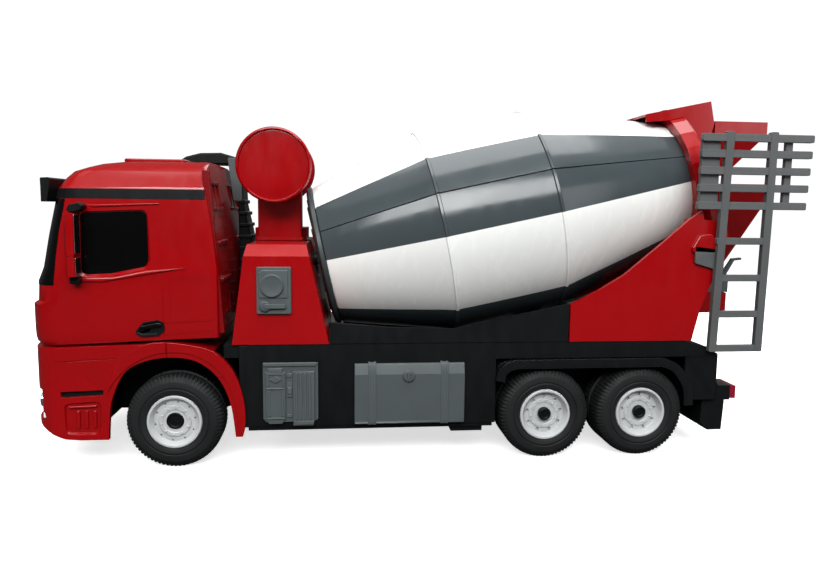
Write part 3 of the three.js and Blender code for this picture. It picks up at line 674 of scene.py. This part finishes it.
def build_visor():
    """A louvred sun visor with end plates, slats and upright bars."""
    outline = rounded([(-77.2, 148), (-75.8, 158), (-73.5, 160.8), (-64.6, 161.3), (-66.8, 148.2)], 1.2, 3)
    inner = [(-78.6, 149.6), (-77.6, 157.2), (-71, 157.2), (-71, 149.6)]
    cuts = [prism(inner, (-47.2, 47.2))]
    brim = curve_through([(-76.9, 0), (-76.5, 20), (-75, 36), (-72.6, 45), (-69.4, 51.8)], 4)
    ahead = [(x, -y) for x, y in reversed(brim)] + brim[1:]
    cuts.append(prism([(-90, -70)] + [(-69.4, -70)] + ahead + [(-69.4, 70), (-90, 70)], (140, 170), "z"))
    make(
        "visor", prism(outline, (-51.6, 51.6)), BLACK, stands_for=("sun_visor",),
        cuts=cuts, edge=0.5
    )
    slats = Shape()
    for low in (151, 153.2, 155.4):
        slats.merge(
            prism(
                [
                    (-75.6, -24), (-73.4, -38), (-71, -47.5), (-70, -47.5), (-70, 47.5), (-71, 47.5),
                    (-73.4, 38), (-75.6, 24)
                ],
                (low, low + 0.9), "z"
            )
        )
    for y, front in ((-31, -75.2), (0, -76.4), (31, -75.2)):
        slats.merge(block((front, -71), (y - 1, y + 1), (149.4, 157.4)))
    make("visor_slats", slats, BLACK, edge=0.2)


# ---------------------------------------------------------------- bumper and fender

HALF = 63.4
SKIN_PLAN = [
    (-78.8, 0.0), (-78.6, 0.42), (-77.6, 0.66), (-76, 0.79), (-73.8, 0.88), (-71, 0.94), (-66.5, 0.98),
    (-61, 1.0)
]
ARCH_POINTS = [
    (-35.6, 16), (-35, 26), (-33.2, 40), (-26.5, 54.4), (-17, 60.6), (-5, 63.2), (9, 62.2), (19, 56.8),
    (26.4, 47.8), (31, 35), (33.4, 16)
]
FENDER_OUTER = [
    (-36, 61.4), (-27, 64.4), (-15, 70.6), (-4, 71.8), (12, 69.6), (22, 66.2), (30, 58.6), (35, 49.4),
    (38, 38), (38.8, 26), (37.2, 17.6)
]


def build_bumper():
    plan_right = curve_through([(x, HALF * k) for x, k in SKIN_PLAN], 3) + [(40, HALF)]
    plan = [(x, -y) for x, y in reversed(plan_right)][:-1] + plan_right
    inner_plan = [(min(max(x + 4.6, -73), 60), y * 0.955) for x, y in plan]
    top = curve_through(FENDER_OUTER[2:], 4)
    side = [
        (-77.4, 68.9), (-78.6, 66.8), (-78.8, 60), (-78.8, 36), (-78, 30.5), (-74, 26.3), (-65, 20.5),
        (-58.4, 18), (-50, 17.3), (-38, 17.3)
    ]
    side += [(-36.4, 17.3), (37, 17.3)] + top[::-1] + [(-40, 70.0), (-60, 69.3)]
    arch = curve_through(ARCH_POINTS, 5)
    skin = blank("bumper", prism(side, (-HALF, HALF)))
    carve(skin, prism(plan, (10, 80), "z"), "INTERSECT")
    carve(skin, prism(inner_plan, (10, 66.2), "z"))
    carve(skin, prism(arch, (-70, 70)))
    for _, s in SIDES:
        carve(
            skin,
            prism(
                rounded([(-59.6, 41.4), (-37.6, 42.6), (-37.4, 45.6), (-60.2, 44.8)], 0.8),
                both(60.8, 66, s)
            )
        )
        panel = rounded([(-57.4, 21.6), (-40.6, 21.0), (-39.6, 38.4), (-57.8, 37.4)], 2.4)
        carve(skin, frustum(grown(panel, 1.1), panel, s * 63.9, s * 62.2))
        carve(skin, prism(stroke([(-64, 61.2), (-44, 62.4), (-30, 62.9)], 0.6), both(62.9, 66, s)))
        carve(skin, prism(stroke([(-3.2, 60), (-3.4, 74)], 0.6), both(62.6, 66, s)))
        carve(skin, prism(stroke([(20, 51.6), (42, 52.2)], 0.5), both(62.8, 66, s)))
        carve(skin, block((-90, -70.8), both(34, 61, s), (29.2, 45.6)))
    carve(skin, prism(rounded([(-24, 50), (24, 50), (24, 56), (-24, 56)], 1.5), (-90, -76.4), "x"))
    carve(skin, prism(rounded([(-30, 24.5), (30, 24.5), (30, 44), (-30, 44)], 2), (-90, -77.2), "x"))
    finish(skin, RED, 0.7, 3, 30, ("front_bumper",))

    for name, s in SIDES:
        # the liner keeps clear of the steered tyre, whose pivot lies inboard of it
        liner = blank("arch_liner_" + name, prism(grown(arch, 5.0), both(26.0, 60.6, s)))
        carve(liner, prism(grown(arch, 4.0), both(27.0, 70, s)))
        carve(liner, block((-60, 60), both(20, 80, s), (0, 25)))
        finish(liner, BLACK, 0.2)
        lip = curve_through(FENDER_OUTER, 4)
        inner = curve_through(
            [
                (-35.4, 44), (-31.4, 50.6), (-24.5, 57.6), (-14.5, 63.6), (-4, 66.0), (9, 65.2),
                (20.6, 59.2), (28.8, 49.4), (33.6, 35), (35.6, 17.6)
            ],
            4
        )
        flare = prism(lip[3:] + inner[::-1], both(62.8, 64.0, s))
        make(
            "fender_flare_" + name, flare, RED,
            cuts=[prism(stroke([(-3.2, 60), (-3.4, 74)], 0.6), both(62, 66, s))], edge=0.6, segments=3
        )
        ribs = Shape()
        for k in range(3):
            x = -52.6 + 4.4 * k
            ribs.merge(
                prism(
                    rounded([(x, 24), (x + 2, 24), (x + 2.2, 34), (x + 0.2, 34)], 0.8), both(61.8, 63.2, s)
                )
            )
        ribs.merge(
            prism(
                rounded([(-56.2, 35.4), (-41.4, 36), (-41.4, 37.2), (-56.2, 36.6)], 0.4),
                both(61.8, 63.5, s)
            )
        )
        make("step_ribs_" + name, ribs, RED, edge=0.4)
        # painted shade: a black block at the bottom of the step's recess, where the red plastic lies in shadow
        slot_shade = block((-60, -37), both(58.6, 61.6, s), (39.8, 46.4))
        make("step_slot_shade_" + name, slot_shade, BLACK, edge=0.3)
        bulbs = Shape()
        for y, r, depth in ((41.5, 4.8, -76.4), (51.5, 4.2, -74.2)):
            ring = [(0.001, 1.6), (r - 1.4, 1.4), (r - 0.8, 0), (r, 0.3), (r, 3), (0.001, 3)]
            bulbs.merge(
                turned(
                    ring, lambda rr, a, t, y=y,
                    depth=depth: (depth + t, s * y + rr * math.cos(a), 37.9 + rr * math.sin(a)), 32
                )
            )
        make("lamp_bulbs_" + name, bulbs, CHROME, edge=0.3)
        fog = rounded([(50, 28.6), (61, 29.6), (60.4, 33), (50, 32)], 1.0)
        make(
            "fog_lamp_" + name, prism([(s * y, z) for y, z in fog], (-70.6, -65.6), "x"), LENS,
            edge=0.4
        )
    mesh_slats = Shape()
    for low in (26.5, 30.5, 34.5, 38.5):
        mesh_slats.merge(block((-78, -75), (-29.6, 29.6), (low, low + 1.8)))
    make("bumper_slats", mesh_slats, BLACK, edge=0.3)


# ---------------------------------------------------------------- wheels

TYRE_R = 26.8
FACE_Y = 64.3
LUGS = 72


def build_wheel(suffix, body, x, side, width, rear):
    """Lugged tyre with side-wall rings, dished rim with its holes, and the hub cap."""
    z = TYRE_R
    hub = about_y(x, z, side * FACE_Y, side)
    tyre = [
        (15.3, 0.9), (16.4, 0.2), (18.2, 0.0), (18.7, 0.45), (19.1, 0.45), (19.5, 0.0), (22.4, 0.15),
        (23.0, 0.5), (25.2, 1.5), (26.3, 2.8)
    ]
    tyre += [(TYRE_R, 4.6)]
    shoulder = len(tyre)
    groove = [width / 2 - 1.4, width / 2 - 0.8, width / 2 + 0.8, width / 2 + 1.4]
    tyre += [(TYRE_R, groove[0]), (TYRE_R - 1.3, groove[1]), (TYRE_R - 1.3, groove[2]), (TYRE_R, groove[3])]
    mirrored = [(r, width - s) for r, s in reversed(tyre[:shoulder])]
    tyre += mirrored
    total = len(tyre)
    lug_rows = {
        shoulder - 3: 0.7, shoulder - 2: 0.8, shoulder - 1: 0.9, total - shoulder: 0.9,
        total - shoulder + 1: 0.8, total - shoulder + 2: 0.7
    }

    def lugged(row, k, radius):
        return radius - lug_rows[row] if row in lug_rows and k % 4 == 1 else radius

    shape = turned(tyre, hub, LUGS * 4, radius_at=lugged)
    make("tyre_look_" + suffix, shape, TYRE, body, ("tyre_" + suffix,), edge=0)

    dish = 3.2 if rear else 2.0
    rim = [
        (2.3, dish + 0.4), (6.2, dish + 0.4), (6.8, dish), (8.6, dish), (9.2, dish + 0.7),
        (11.6, dish + 0.7), (12.5, dish - 0.4), (13.2, 0.5), (13.7, 0.0)
    ]
    rim += [(14.6, 0.0), (15.0, 0.5), (15.0, width - 1), (12.6, width - 1), (12.6, 9), (2.3, 9)]
    cuts = []
    count = 9 if rear else 10
    ring = 10.3 if rear else 11.0
    hole = 1.05 if rear else 0.6
    for k in range(count):
        angle = 2 * math.pi * (k + 0.25) / count
        hx, hz = x + ring * math.cos(angle), z + ring * math.sin(angle)
        cuts.append(
            turned(
                [(0.001, -2), (hole, -2), (hole, dish + 2.2), (0.001, dish + 2.2)],
                about_y(hx, hz, side * FACE_Y, side), 14
            )
        )
    if not rear:
        cuts.append(turned([(0.001, -2), (4.9, -2), (4.9, 6.6), (0.001, 6.6)], hub, 40))
    holes = Shape()
    for cutter in cuts:
        holes.merge(cutter)
    make(
        "rim_look_" + suffix, turned(rim, hub, 72), RIM, body, ("rim_" + suffix,),
        cuts=[holes], edge=0.18
    )

    nuts = Shape()
    for k in range(10):
        angle = 2 * math.pi * k / 10 + 0.2
        nx, nz = x + 7.7 * math.cos(angle), z + 7.7 * math.sin(angle)
        profile = [
            (0.001, dish - 0.5), (0.45, dish - 0.5), (0.7, dish - 0.2), (0.7, dish + 0.4),
            (0.001, dish + 0.4)
        ]
        nuts.merge(turned(profile, about_y(nx, nz, side * FACE_Y, side), 6))
    make("wheel_nuts_" + suffix, nuts, RIM, body, edge=0)

    if rear:
        cap = [
            (0.001, 1.1), (2.0, 1.1), (2.4, 0.7), (3.2, 0.7), (3.8, 1.4), (3.8, dish + 1), (0.001, dish + 1)
        ]
    else:
        cap = [(0.001, 2.9), (3.2, 2.9), (3.6, 2.5), (4.4, 2.5), (4.85, 3.0), (4.85, 7.2), (0.001, 7.2)]
    make("hub_cap_" + suffix, turned(cap, hub, 40), BLACK, body, edge=0.15)


# ---------------------------------------------------------------- drum

drum_joint = next(j for j in frame["joints"] if j["name"] == "drum_spin")
drum_axis = Vector(drum_joint["axis"]).normalized()
DRUM_TILT = math.atan2(drum_axis.z, drum_axis.x)
DRUM_FROM = (Vector(drum_joint["pos_m"]) - FRONT_AXLE) / MM
SEAM = math.radians(22.8)
RIBS = (69.9, 137.9)
DRUM_LENGTH = 229.4
STRIPE_STEPS = 10


def on_drum(r, angle, along):
    """Angles run from the truck's left side up and over to its right."""
    across = -r * math.cos(angle)
    up = r * math.sin(angle)
    return (
        DRUM_FROM.x + along * math.cos(DRUM_TILT) - up * math.sin(DRUM_TILT),
        DRUM_FROM.y + across,
        DRUM_FROM.z + along * math.sin(DRUM_TILT) + up * math.cos(DRUM_TILT),
    )


def build_drum():
    def swell(s):
        """The shell's radius: three nearly straight cones that meet at the two ribs."""
        if s < RIBS[0]:
            t = s / RIBS[0]
            return 43.7 + (64 - 43.7) * t + 1.0 * t * (1 - t)
        if s < RIBS[1]:
            t = (s - RIBS[0]) / (RIBS[1] - RIBS[0])
            return 64 + 0.3 * t + 0.6 * 4 * t * (1 - t) * 0.5
        t = (s - RIBS[1]) / (DRUM_LENGTH - RIBS[1])
        return 64.3 + (39.5 - 64.3) * t + 2.2 * t * (1 - t)

    def rib(s):
        return [
            (swell(s), s - 1.2), (swell(s) + 0.85, s - 0.7), (swell(s) + 0.85, s + 0.7), (swell(s), s + 1.2)
        ]

    outer = [(42.9, 0), (43.9, 0.8)]
    outer += [(swell(s), s) for s in (12, 24, 36, 48, 60)] + rib(RIBS[0])
    outer += [(swell(s), s) for s in (82, 93, 104, 115, 126)] + rib(RIBS[1])
    outer += [
        (swell(s), s) for s in (152, 167, 182, 197, 212, 222)
    ] + [(39.9, DRUM_LENGTH - 0.8), (39.1, DRUM_LENGTH)]
    inner = [
        (33, DRUM_LENGTH), (33, DRUM_LENGTH - 2), (38, DRUM_LENGTH - 2), (62, RIBS[1]), (62, RIBS[0]),
        (41.7, 2.5), (4.3, 2.5), (4.3, 0)
    ]
    gap = 0.006

    def stripe(k):
        """White and slate take turns, one stripe wide, with the seam in the middle of a slate one."""
        return 1 if (k + STRIPE_STEPS // 2) // STRIPE_STEPS % 2 == 0 else 0

    for name, first in (("upper", SEAM), ("lower", SEAM + math.pi)):
        shape = turned(
            outer + inner,
            on_drum,
            4 * STRIPE_STEPS,
            (first + gap, first + math.pi - gap),
            stripe,
        )
        make("drum_" + name, shape, [WHITE, SLATE], "drum", ("drum_shell_" + name,), edge=0)

    collar = [
        (0.001, -9), (4, -9), (4, -4.5), (38, -4.5), (40, -3.9), (42.6, -3.9), (44.6, -2.8), (44.6, -0.3),
        (4, -0.3), (4, 8), (0.001, 8)
    ]
    make(
        "drum_plate", turned(collar, on_drum, 72), GREY_DARK, "drum", ("drum_collar",),
        edge=0.25
    )
    spokes = Shape()
    for k in range(12):
        angle = 2 * math.pi * k / 12
        spokes.merge(
            turned(
                [(24, -5.4), (37, -5.2), (37, -4.2), (24, -4.2)], on_drum, 3, (angle - 0.03, angle + 0.03)
            )
        )
    make("drum_plate_ribs", spokes, GREY_DARK, "drum", edge=0.2)
    blades = Shape()
    for start in (0.3, 0.3 + math.pi):
        ribbon = []
        for k in range(40):
            s = 40 + k * 4.4
            angle = start + k * 0.16
            r = swell(s) - 2.6
            ribbon.append(
                [
                    on_drum(r, angle, s), on_drum(r - 9, angle, s), on_drum(r - 9, angle, s + 1.4),
                    on_drum(r, angle, s + 1.4)
                ]
            )
        points = [p for ring in ribbon for p in ring]
        faces = [
            [
                k * 4 + i, k * 4 + (i + 1) % 4, k * 4 + 4 + (i + 1) % 4, k * 4 + 4 + i
            ] for k in range(39) for i in range(4)
        ]
        faces += [[0, 1, 2, 3], [156, 157, 158, 159]]
        blades.add(points, faces)
    make("drum_blades", blades, WHITE, "drum", edge=0)


# ---------------------------------------------------------------- tower details and water tank

TANK_X, TANK_Z = 52.9, 171.1


def build_water_tank():
    """Drum-shaped tank lying across the truck: two rimmed caps on a waisted body, on a post."""
    tank = Shape()
    for _, side in SIDES:
        cap = [
            (0.001, 1.1), (12, 0.9), (19.4, 1.2), (20.2, 1.3), (20.7, 0.3), (21.0, 0.0), (21.7, 0.3),
            (22.3, 1.2), (22.3, 5.4), (21.9, 6), (0.001, 6)
        ]
        tank.merge(turned(cap, about_y(TANK_X, TANK_Z, side * 30, side), 96))
    tank.merge(
        turned(
            [(0.001, 5), (19.0, 5), (19.4, 12), (19.4, 48), (19.0, 55), (0.001, 55)],
            about_y(TANK_X, TANK_Z, -30), 80
        )
    )
    make("tank_body", tank, RED, stands_for=("water_tank",), edge=0)
    post = rounded([(41, -8), (68, -8), (68, 6), (41, 6)], 1.0, 3)
    foot = rounded([(39.8, -9), (69.2, -9), (69.2, 6.6), (39.8, 6.6)], 1.2, 3)
    stand = Shape().merge(prism(post, (126, 160), "z")).merge(prism(foot, (125.6, 127.6), "z"))
    make("tank_post", stand, RED, edge=0.6)


def build_panels():
    for name, side in SIDES:
        face = 62.3
        plate = rounded([(45.8, 87.2), (64.8, 87.2), (64.8, 113.6), (45.8, 113.6)], 1.2)
        panel = prism(plate, both(face, face + 1.5, side))
        frame_outline = rounded(
            [(46.9, 96.2), (63.2, 96.2), (63.2, 111.9), (49.0, 111.9), (46.9, 110.2)], 0.8
        )
        panel.merge(prism(frame_outline, both(face + 1, face + 2.0, side)))
        make(
            "valve_plate_" + name, panel, GREY, stands_for=("control_panel_" + name,),
            edge=0.45
        )
        knob = [(0.001, 0.35), (4.4, 0.35), (5.0, 0.0), (6.0, 0.0), (6.4, 0.4), (6.4, 2.0), (0.001, 2.0)]
        make(
            "valve_dial_" + name, turned(knob, about_y(54.3, 103.2, side * (face + 3.3), side), 48), GREY,
            edge=0
        )
        boss = [(0.001, 0), (2.4, 0), (3.3, 0.7), (3.3, 2), (0.001, 2)]
        lever = turned(boss, about_y(50.4, 91.8, side * (face + 3.0), side), 36)
        lever.merge(
            prism(
                rounded([(50, 90.5), (61.8, 90.5), (61.8, 93.1), (50, 93.1)], 1.2),
                both(face + 1.2, face + 3.4, side)
            )
        )
        make("valve_lever_" + name, lever, GREY, edge=0.3)


# ---------------------------------------------------------------- side equipment


def build_fuel_tank(name, side):
    y0 = 62.3
    section = [
        (side * y, z) for y,
        z in ((y0, 23), (y0 + 3.0, 23.6), (y0 + 3.4, 26), (y0 + 3.4, 52.6), (y0 + 1.8, 58.2), (y0, 59))
    ]
    tank = Shape()
    tank.merge(prism(rounded(section, 0.8, 2), (99.9, 163.2), "x"))
    make(
        "tank_shell_" + name, tank, GREY, stands_for=("fuel_tank_" + name,), edge=0.8,
        segments=3
    )
    straps = Shape()
    for x in (107.6, 149.2):
        for shift in (0, 3.2):
            straps.merge(prism(grown(section, 0.35), (x + shift, x + shift + 1.4), "x"))
        straps.merge(prism(grown(section, 0.2), (x, x + 4.4), "x"))
    make("tank_straps_" + name, straps, GREY, edge=0.25)
    cap = [(0.001, 0.5), (1.6, 0.5), (1.8, 0.1), (2.4, 0.1), (3.1, 0.3), (3.5, 0.9), (3.5, 2.4), (0.001, 2.4)]
    make(
        "tank_cap_" + name, turned(cap, about_y(130.8, 51.6, side * (y0 + 4.8), side), 40), GREY,
        edge=0
    )
    bar = prism(
        rounded([(130.2, 49.8), (131.4, 49.8), (131.4, 53.4), (130.2, 53.4)], 0.4),
        both(y0 + 3.8, y0 + 5.0, side)
    )
    make("tank_cap_grip_" + name, bar, GREY, edge=0.2)


def build_toolbox(name, side):
    y0 = 62.3
    box = prism(
        rounded([(48.6, 27.4), (50.2, 25.2), (61, 25.2), (79.0, 26), (79.4, 59.8), (48.6, 59.8)], 0.8),
        both(y0, y0 + 1.2, side)
    )
    box.merge(block((48.8, 79.3), both(y0, y0 + 2.0, side), (57.6, 59.8)))
    box.merge(block((78.2, 79.4), both(y0, y0 + 2.0, side), (27, 59.8)))
    left = rounded([(50.2, 27.6), (51.8, 24.6), (59.2, 24.6), (61.2, 27.4), (61.4, 54.6), (50.0, 54.6)], 0.8)
    box.merge(prism(left, both(y0, y0 + 2.4, side)))
    box.merge(
        prism(rounded([(51.4, 54), (59.6, 54), (59.6, 56.8), (51.4, 56.8)], 0.6), both(y0, y0 + 2.8, side))
    )
    right = rounded([(65.4, 23.2), (76.6, 23.2), (77.4, 26), (77.4, 54.8), (65.4, 54.8)], 0.6)
    box.merge(prism(right, both(y0, y0 + 2.3, side)))
    make("tool_case_" + name, box, GREY, stands_for=("toolbox_" + name,), edge=0.35)
    ribs = Shape()
    for k in range(4):
        x = 66.6 + 2.5 * k
        ribs.merge(block((x, x + 1.3), both(y0 + 2, y0 + 3.0, side), (27, 54)))
    ribs.merge(block((66, 77), both(y0 + 2, y0 + 3.0, side), (24, 26.4)))
    for z in (27.4, 44.6):
        ribs.merge(block((50.6, 60.8), both(y0 + 2, y0 + 2.9, side), (z, z + 1.0)))
    diamond = [(52, 50.4), (55.8, 48.2), (59.6, 50.4), (55.8, 52.4)]
    ribs.merge(prism(diamond, both(y0 + 2, y0 + 3.0, side)))
    for x0, x1, z0, z1 in (
        (51, 60.6, 53.0, 54.0), (51, 52.2, 46.6, 53.6), (59.4, 60.6, 46.6, 53.6), (51.4, 52.6, 29, 44),
        (59, 60.2, 29, 44)
    ):
        ribs.merge(block((x0, x1), both(y0 + 2, y0 + 2.9, side), (z0, z1)))
    make("tool_ribs_" + name, ribs, GREY, edge=0.25)
    latch = Shape()
    latch.merge(block((61.8, 65.0), both(y0 + 0.6, y0 + 2.0, side), (40, 48.4)))
    latch.merge(block((62.2, 64.6), both(y0 + 0.6, y0 + 2.7, side), (42, 45.6)))
    latch.merge(block((61.8, 65.0), both(y0 + 0.6, y0 + 1.8, side), (51.4, 53.6)))
    latch.merge(block((61.8, 65.0), both(y0 + 0.6, y0 + 1.8, side), (28, 30)))
    make("tool_latch_" + name, latch, GREY, edge=0.25)


FENDER = [
    (182.8, 47.5), (184.2, 53.0), (188.8, 57.2), (195.6, 58.8), (283, 58.8), (290.5, 55.6), (296, 49.6),
    (300, 41.5), (301.2, 31)
]


def build_rear_fender(name, side):
    """Curved fender over both rear wheels, its top stepped by three raised ribs."""
    line = curve_through(FENDER[:4], 5)[:-1] + curve_through(FENDER[4:], 5)

    def layer(proud, thick, span):
        outer = stroke(line, 2 * proud)[: len(line)]
        inner = stroke(line, 2 * thick)[: len(line) - 1 : -1]
        return prism(outer + inner[::-1], both(*span, side))

    fender = Shape().merge(layer(0.0, 3.0, (31.3, 64.4)))
    for span in ((62.8, 65.0), (57.2, 59.4), (51.4, 53.4)):
        fender.merge(layer(1.1, 3.0, span))
    fender.merge(layer(0.0, 4.2, (63.6, 64.8)))
    make(
        "fender_cover_" + name, fender, FENDER_BLACK, stands_for=("rear_fender_" + name,),
        edge=0.35
    )


# ---------------------------------------------------------------- rear details


def build_rear_details():
    for name, side in SIDES:
        boss = rounded(
            [(297.6, 122.6), (313.0, 122), (313.2, 127), (309, 133.4), (301.5, 132.6), (297.6, 125.5)], 1.2
        )
        make("support_boss_" + name, prism(boss, both(59, 63.6, side)), RED, edge=0.6)
        wedge = [(224.4, 70.5), (224.4, 92.2), (232, 94.2), (243.4, 98.6), (243.4, 91), (232, 86)]
        make("cradle_wedge_" + name, prism(wedge, both(50.4, 58.2, side)), BLACK, edge=0.5)
        lens = Shape()
        for k in range(4):
            lens.merge(block((333.2, 333.8), both(40 + 4.2 * k, 43 + 4.2 * k, side), (33.4, 39.6)))
        make("tail_ribs_" + name, lens, TAIL, edge=0.2)
        tail = prism(rounded([(298, 33), (318.4, 33), (318.4, 62), (298, 62)], 1.2), both(58.6, 61.4, side))
        make("tail_panel_" + name, tail, BLACK, edge=0.5)
        skirt = block((35.4, 41), both(58.4, 61.8, side), (22, 69))
        make("fender_skirt_" + name, skirt, BLACK, edge=0.5)
    ring = turned([(42.4, 236), (43.6, 236), (43.6, 236.7), (42.4, 236.7)], on_drum, 72)
    ring.merge(turned([(46, 236), (47.2, 236), (47.2, 236.7), (46, 236.7)], on_drum, 72))
    make("ring_beads", ring, RED, edge=0.2)


def build_ladder():
    """Ladder and its five-bar basket: leaning rails, rungs between them, boards behind the bars."""
    outer, inner = (63.2, 66.2), (60.6, 63.4)

    def bar(start, end, width, depth):
        (x0, z0), (x1, z1) = start, end
        along = math.hypot(x1 - x0, z1 - z0)
        dx, dz = (z1 - z0) / along * width / 2, -(x1 - x0) / along * width / 2
        corners = [(x0 - dx, z0 - dz), (x1 - dx, z1 - dz), (x1 + dx, z1 + dz), (x0 + dx, z0 + dz)]
        return prism(rounded(corners, 0.9, 3), both(*depth, -1))

    ladder = Shape()
    for foot, head in (((311.8, 63.6), (315.4, 192.6)), ((340.4, 63.6), (342.2, 192.6))):
        ladder.merge(bar(foot, head, 4.6, (62.9, 66.5)))
    for z in (65.6, 86.2, 107.7, 129.4):
        ladder.merge(bar((310.6, z), (342.4, z), 4.0, outer))
    for z in (150, 160.2, 170.1, 179.8, 189.0):
        ladder.merge(bar((297.6 + (z - 150) * 0.03, z), (364.6 + (z - 150) * 0.06, z), 4.4, outer))
    for x0, x1 in ((300, 311), (351.4, 355.6)):
        ladder.merge(prism(rounded([(x0, 148), (x1, 148), (x1, 191.4), (x0, 191.4)], 0.6), both(*inner, -1)))
    foot = [(299, 126.3), (299.5, 116.2), (313.4, 112.2), (313.4, 124.6)]
    ladder.merge(prism(rounded(foot, 0.8), both(62.4, 63.6, -1)))
    make("ladder_frame", ladder, LADDER_GREY, stands_for=("ladder",), edge=0.6, segments=3)


# ---------------------------------------------------------------- CAD nodes that stay


def dress_cad_nodes():
    slots = {entry["node"]: entry["material_slot"] for entry in frame["record"]["subparts"]}
    wide_edges = {
        "drum_tower": 0.9, "rear_support": 0.35, "hopper_hood": 0.35, "feed_hopper": 0.5,
        "chassis_frame": 0.8
    }
    for name, node in frame["nodes"].items():
        look = CAD_LOOKS[slots[name]]
        node.data.materials.clear()
        node.data.materials.append(look)
        flats = node.modifiers.new("flats", "DECIMATE")
        flats.decimate_type = "DISSOLVE"
        flats.angle_limit = math.radians(1.5)
        soften(node, wide_edges.get(name, 0.45))


# ---------------------------------------------------------------- stage, light and camera


def build_stage():
    floor = bpy.data.meshes.new("floor")
    reach = 6.0
    floor.from_pydata(
        [(-reach, -reach, 0), (reach, -reach, 0), (reach, reach, 0), (-reach, reach, 0)], [], [(0, 1, 2, 3)]
    )
    plane = bpy.data.objects.new("floor", floor)
    bpy.context.scene.collection.objects.link(plane)
    paint = moulded(
        "floor_paint", (0.88, 0.88, 0.88), 0.8, 0.05, 300, 0.00001, mottle=0.01, edge_highlight=1.0, shine=0.1
    )
    nodes = paint.node_tree.nodes
    nodes["Principled BSDF"].inputs["Emission Color"].default_value = (1, 1, 1, 1)
    nodes["Principled BSDF"].inputs["Emission Strength"].default_value = 0.68
    dim = nodes.new("ShaderNodeBsdfDiffuse")
    dim.inputs["Color"].default_value = (0.05, 0.05, 0.05, 1)
    path = nodes.new("ShaderNodeLightPath")
    choose = nodes.new("ShaderNodeMixShader")
    paint.node_tree.links.new(path.outputs["Is Camera Ray"], choose.inputs["Fac"])
    paint.node_tree.links.new(dim.outputs["BSDF"], choose.inputs[1])
    paint.node_tree.links.new(nodes["Principled BSDF"].outputs["BSDF"], choose.inputs[2])
    paint.node_tree.links.new(choose.outputs["Shader"], nodes["Material Output"].inputs["Surface"])
    floor.materials.append(paint)

    world = bpy.data.worlds.new("studio")
    bpy.context.scene.world = world
    world.use_nodes = True
    tree = world.node_tree
    light = tree.nodes["Background"]
    light.inputs["Color"].default_value = (1, 1, 1, 1)
    light.inputs["Strength"].default_value = 0.10
    seen = tree.nodes.new("ShaderNodeBackground")
    seen.inputs["Color"].default_value = (1, 1, 1, 1)
    seen.inputs["Strength"].default_value = 1.05
    path = tree.nodes.new("ShaderNodeLightPath")
    choose = tree.nodes.new("ShaderNodeMixShader")
    tree.links.new(path.outputs["Is Camera Ray"], choose.inputs["Fac"])
    tree.links.new(light.outputs["Background"], choose.inputs[1])
    tree.links.new(seen.outputs["Background"], choose.inputs[2])
    tree.links.new(choose.outputs["Shader"], tree.nodes["World Output"].inputs["Surface"])

    def softbox(name, place, target, size, power):
        data = bpy.data.lights.new(name, "AREA")
        data.shape = "RECTANGLE"
        data.size, data.size_y = size
        data.energy = power
        lamp = bpy.data.objects.new(name, data)
        bpy.context.scene.collection.objects.link(lamp)
        aim = Vector(target) - Vector(place)
        lamp.matrix_world = Matrix.Translation(place) @ aim.to_track_quat("-Z", "Y").to_matrix().to_4x4()

    softbox("top_light", (0.05, -0.12, 1.25), (0.02, 0, 0.1), (1.3, 0.7), 13)
    softbox("key_light", (-0.30, -1.25, 0.85), (0, 0, 0.1), (0.9, 0.5), 5)
    softbox("front_light", (-0.20, -1.15, 0.85), (0, 0, 0.1), (1.4, 0.4), 17)
    softbox("strip_light", (0.25, -0.75, 0.95), (0, 0, 0.12), (0.7, 0.06), 3)
    softbox("fill_light", (0.9, -1.0, 0.45), (0, 0, 0.1), (0.4, 0.6), 1.4)
    softbox("back_light", (0.3, 1.1, 0.8), (0, 0, 0.1), (1.0, 0.6), 4)
    data = bpy.data.lights.new("overhead", "SUN")
    data.energy = 0.9
    data.angle = math.radians(80)
    overhead = bpy.data.objects.new("overhead", data)
    bpy.context.scene.collection.objects.link(overhead)


def build_camera():
    place = at(90.97, -454.75, 147.06)
    yaw, pitch, roll = math.radians(-6.101), math.radians(6.641), math.radians(-0.634)
    ahead = Vector((-math.sin(yaw), math.cos(yaw), 0))
    right = Vector((math.cos(yaw), math.sin(yaw), 0))
    view = ahead * math.cos(pitch) + Vector((0, 0, -math.sin(pitch)))
    up = view.cross(right) * -1
    x_axis = right * math.cos(roll) - up * math.sin(roll)
    y_axis = up * math.cos(roll) + right * math.sin(roll)
    camera = bpy.data.cameras.new("camera")
    camera.sensor_width = 36
    camera.lens = 30.55
    camera.clip_start = 0.02
    mount = bpy.data.objects.new("camera", camera)
    bpy.context.scene.collection.objects.link(mount)
    turn = Matrix((x_axis, y_axis, -view)).transposed().to_4x4()
    mount.matrix_world = Matrix.Translation(place) @ turn
    bpy.context.scene.camera = mount
    bpy.context.scene.view_settings.view_transform = "Standard"


# ---------------------------------------------------------------- assembly

REAR_AXLES = [(centre(f"rear_axle_{i}") - FRONT_AXLE).x / MM for i in (1, 2)]

dress_cad_nodes()
build_cab()
build_visor()
build_intake()
build_bumper()
for name, side in SIDES:
    build_wheel("front_" + name, "wheel_front_" + name, 0.0, side, 20, rear=False)
    for number, x in enumerate(REAR_AXLES, 1):
        build_wheel(f"rear_{number}_{name}", f"rear_axle_{number}", x, side, 30, rear=True)
    build_fuel_tank(name, side)
    build_toolbox(name, side)
    build_rear_fender(name, side)
build_drum()
build_water_tank()
build_panels()
build_rear_details()
build_ladder()
build_stage()
build_camera()
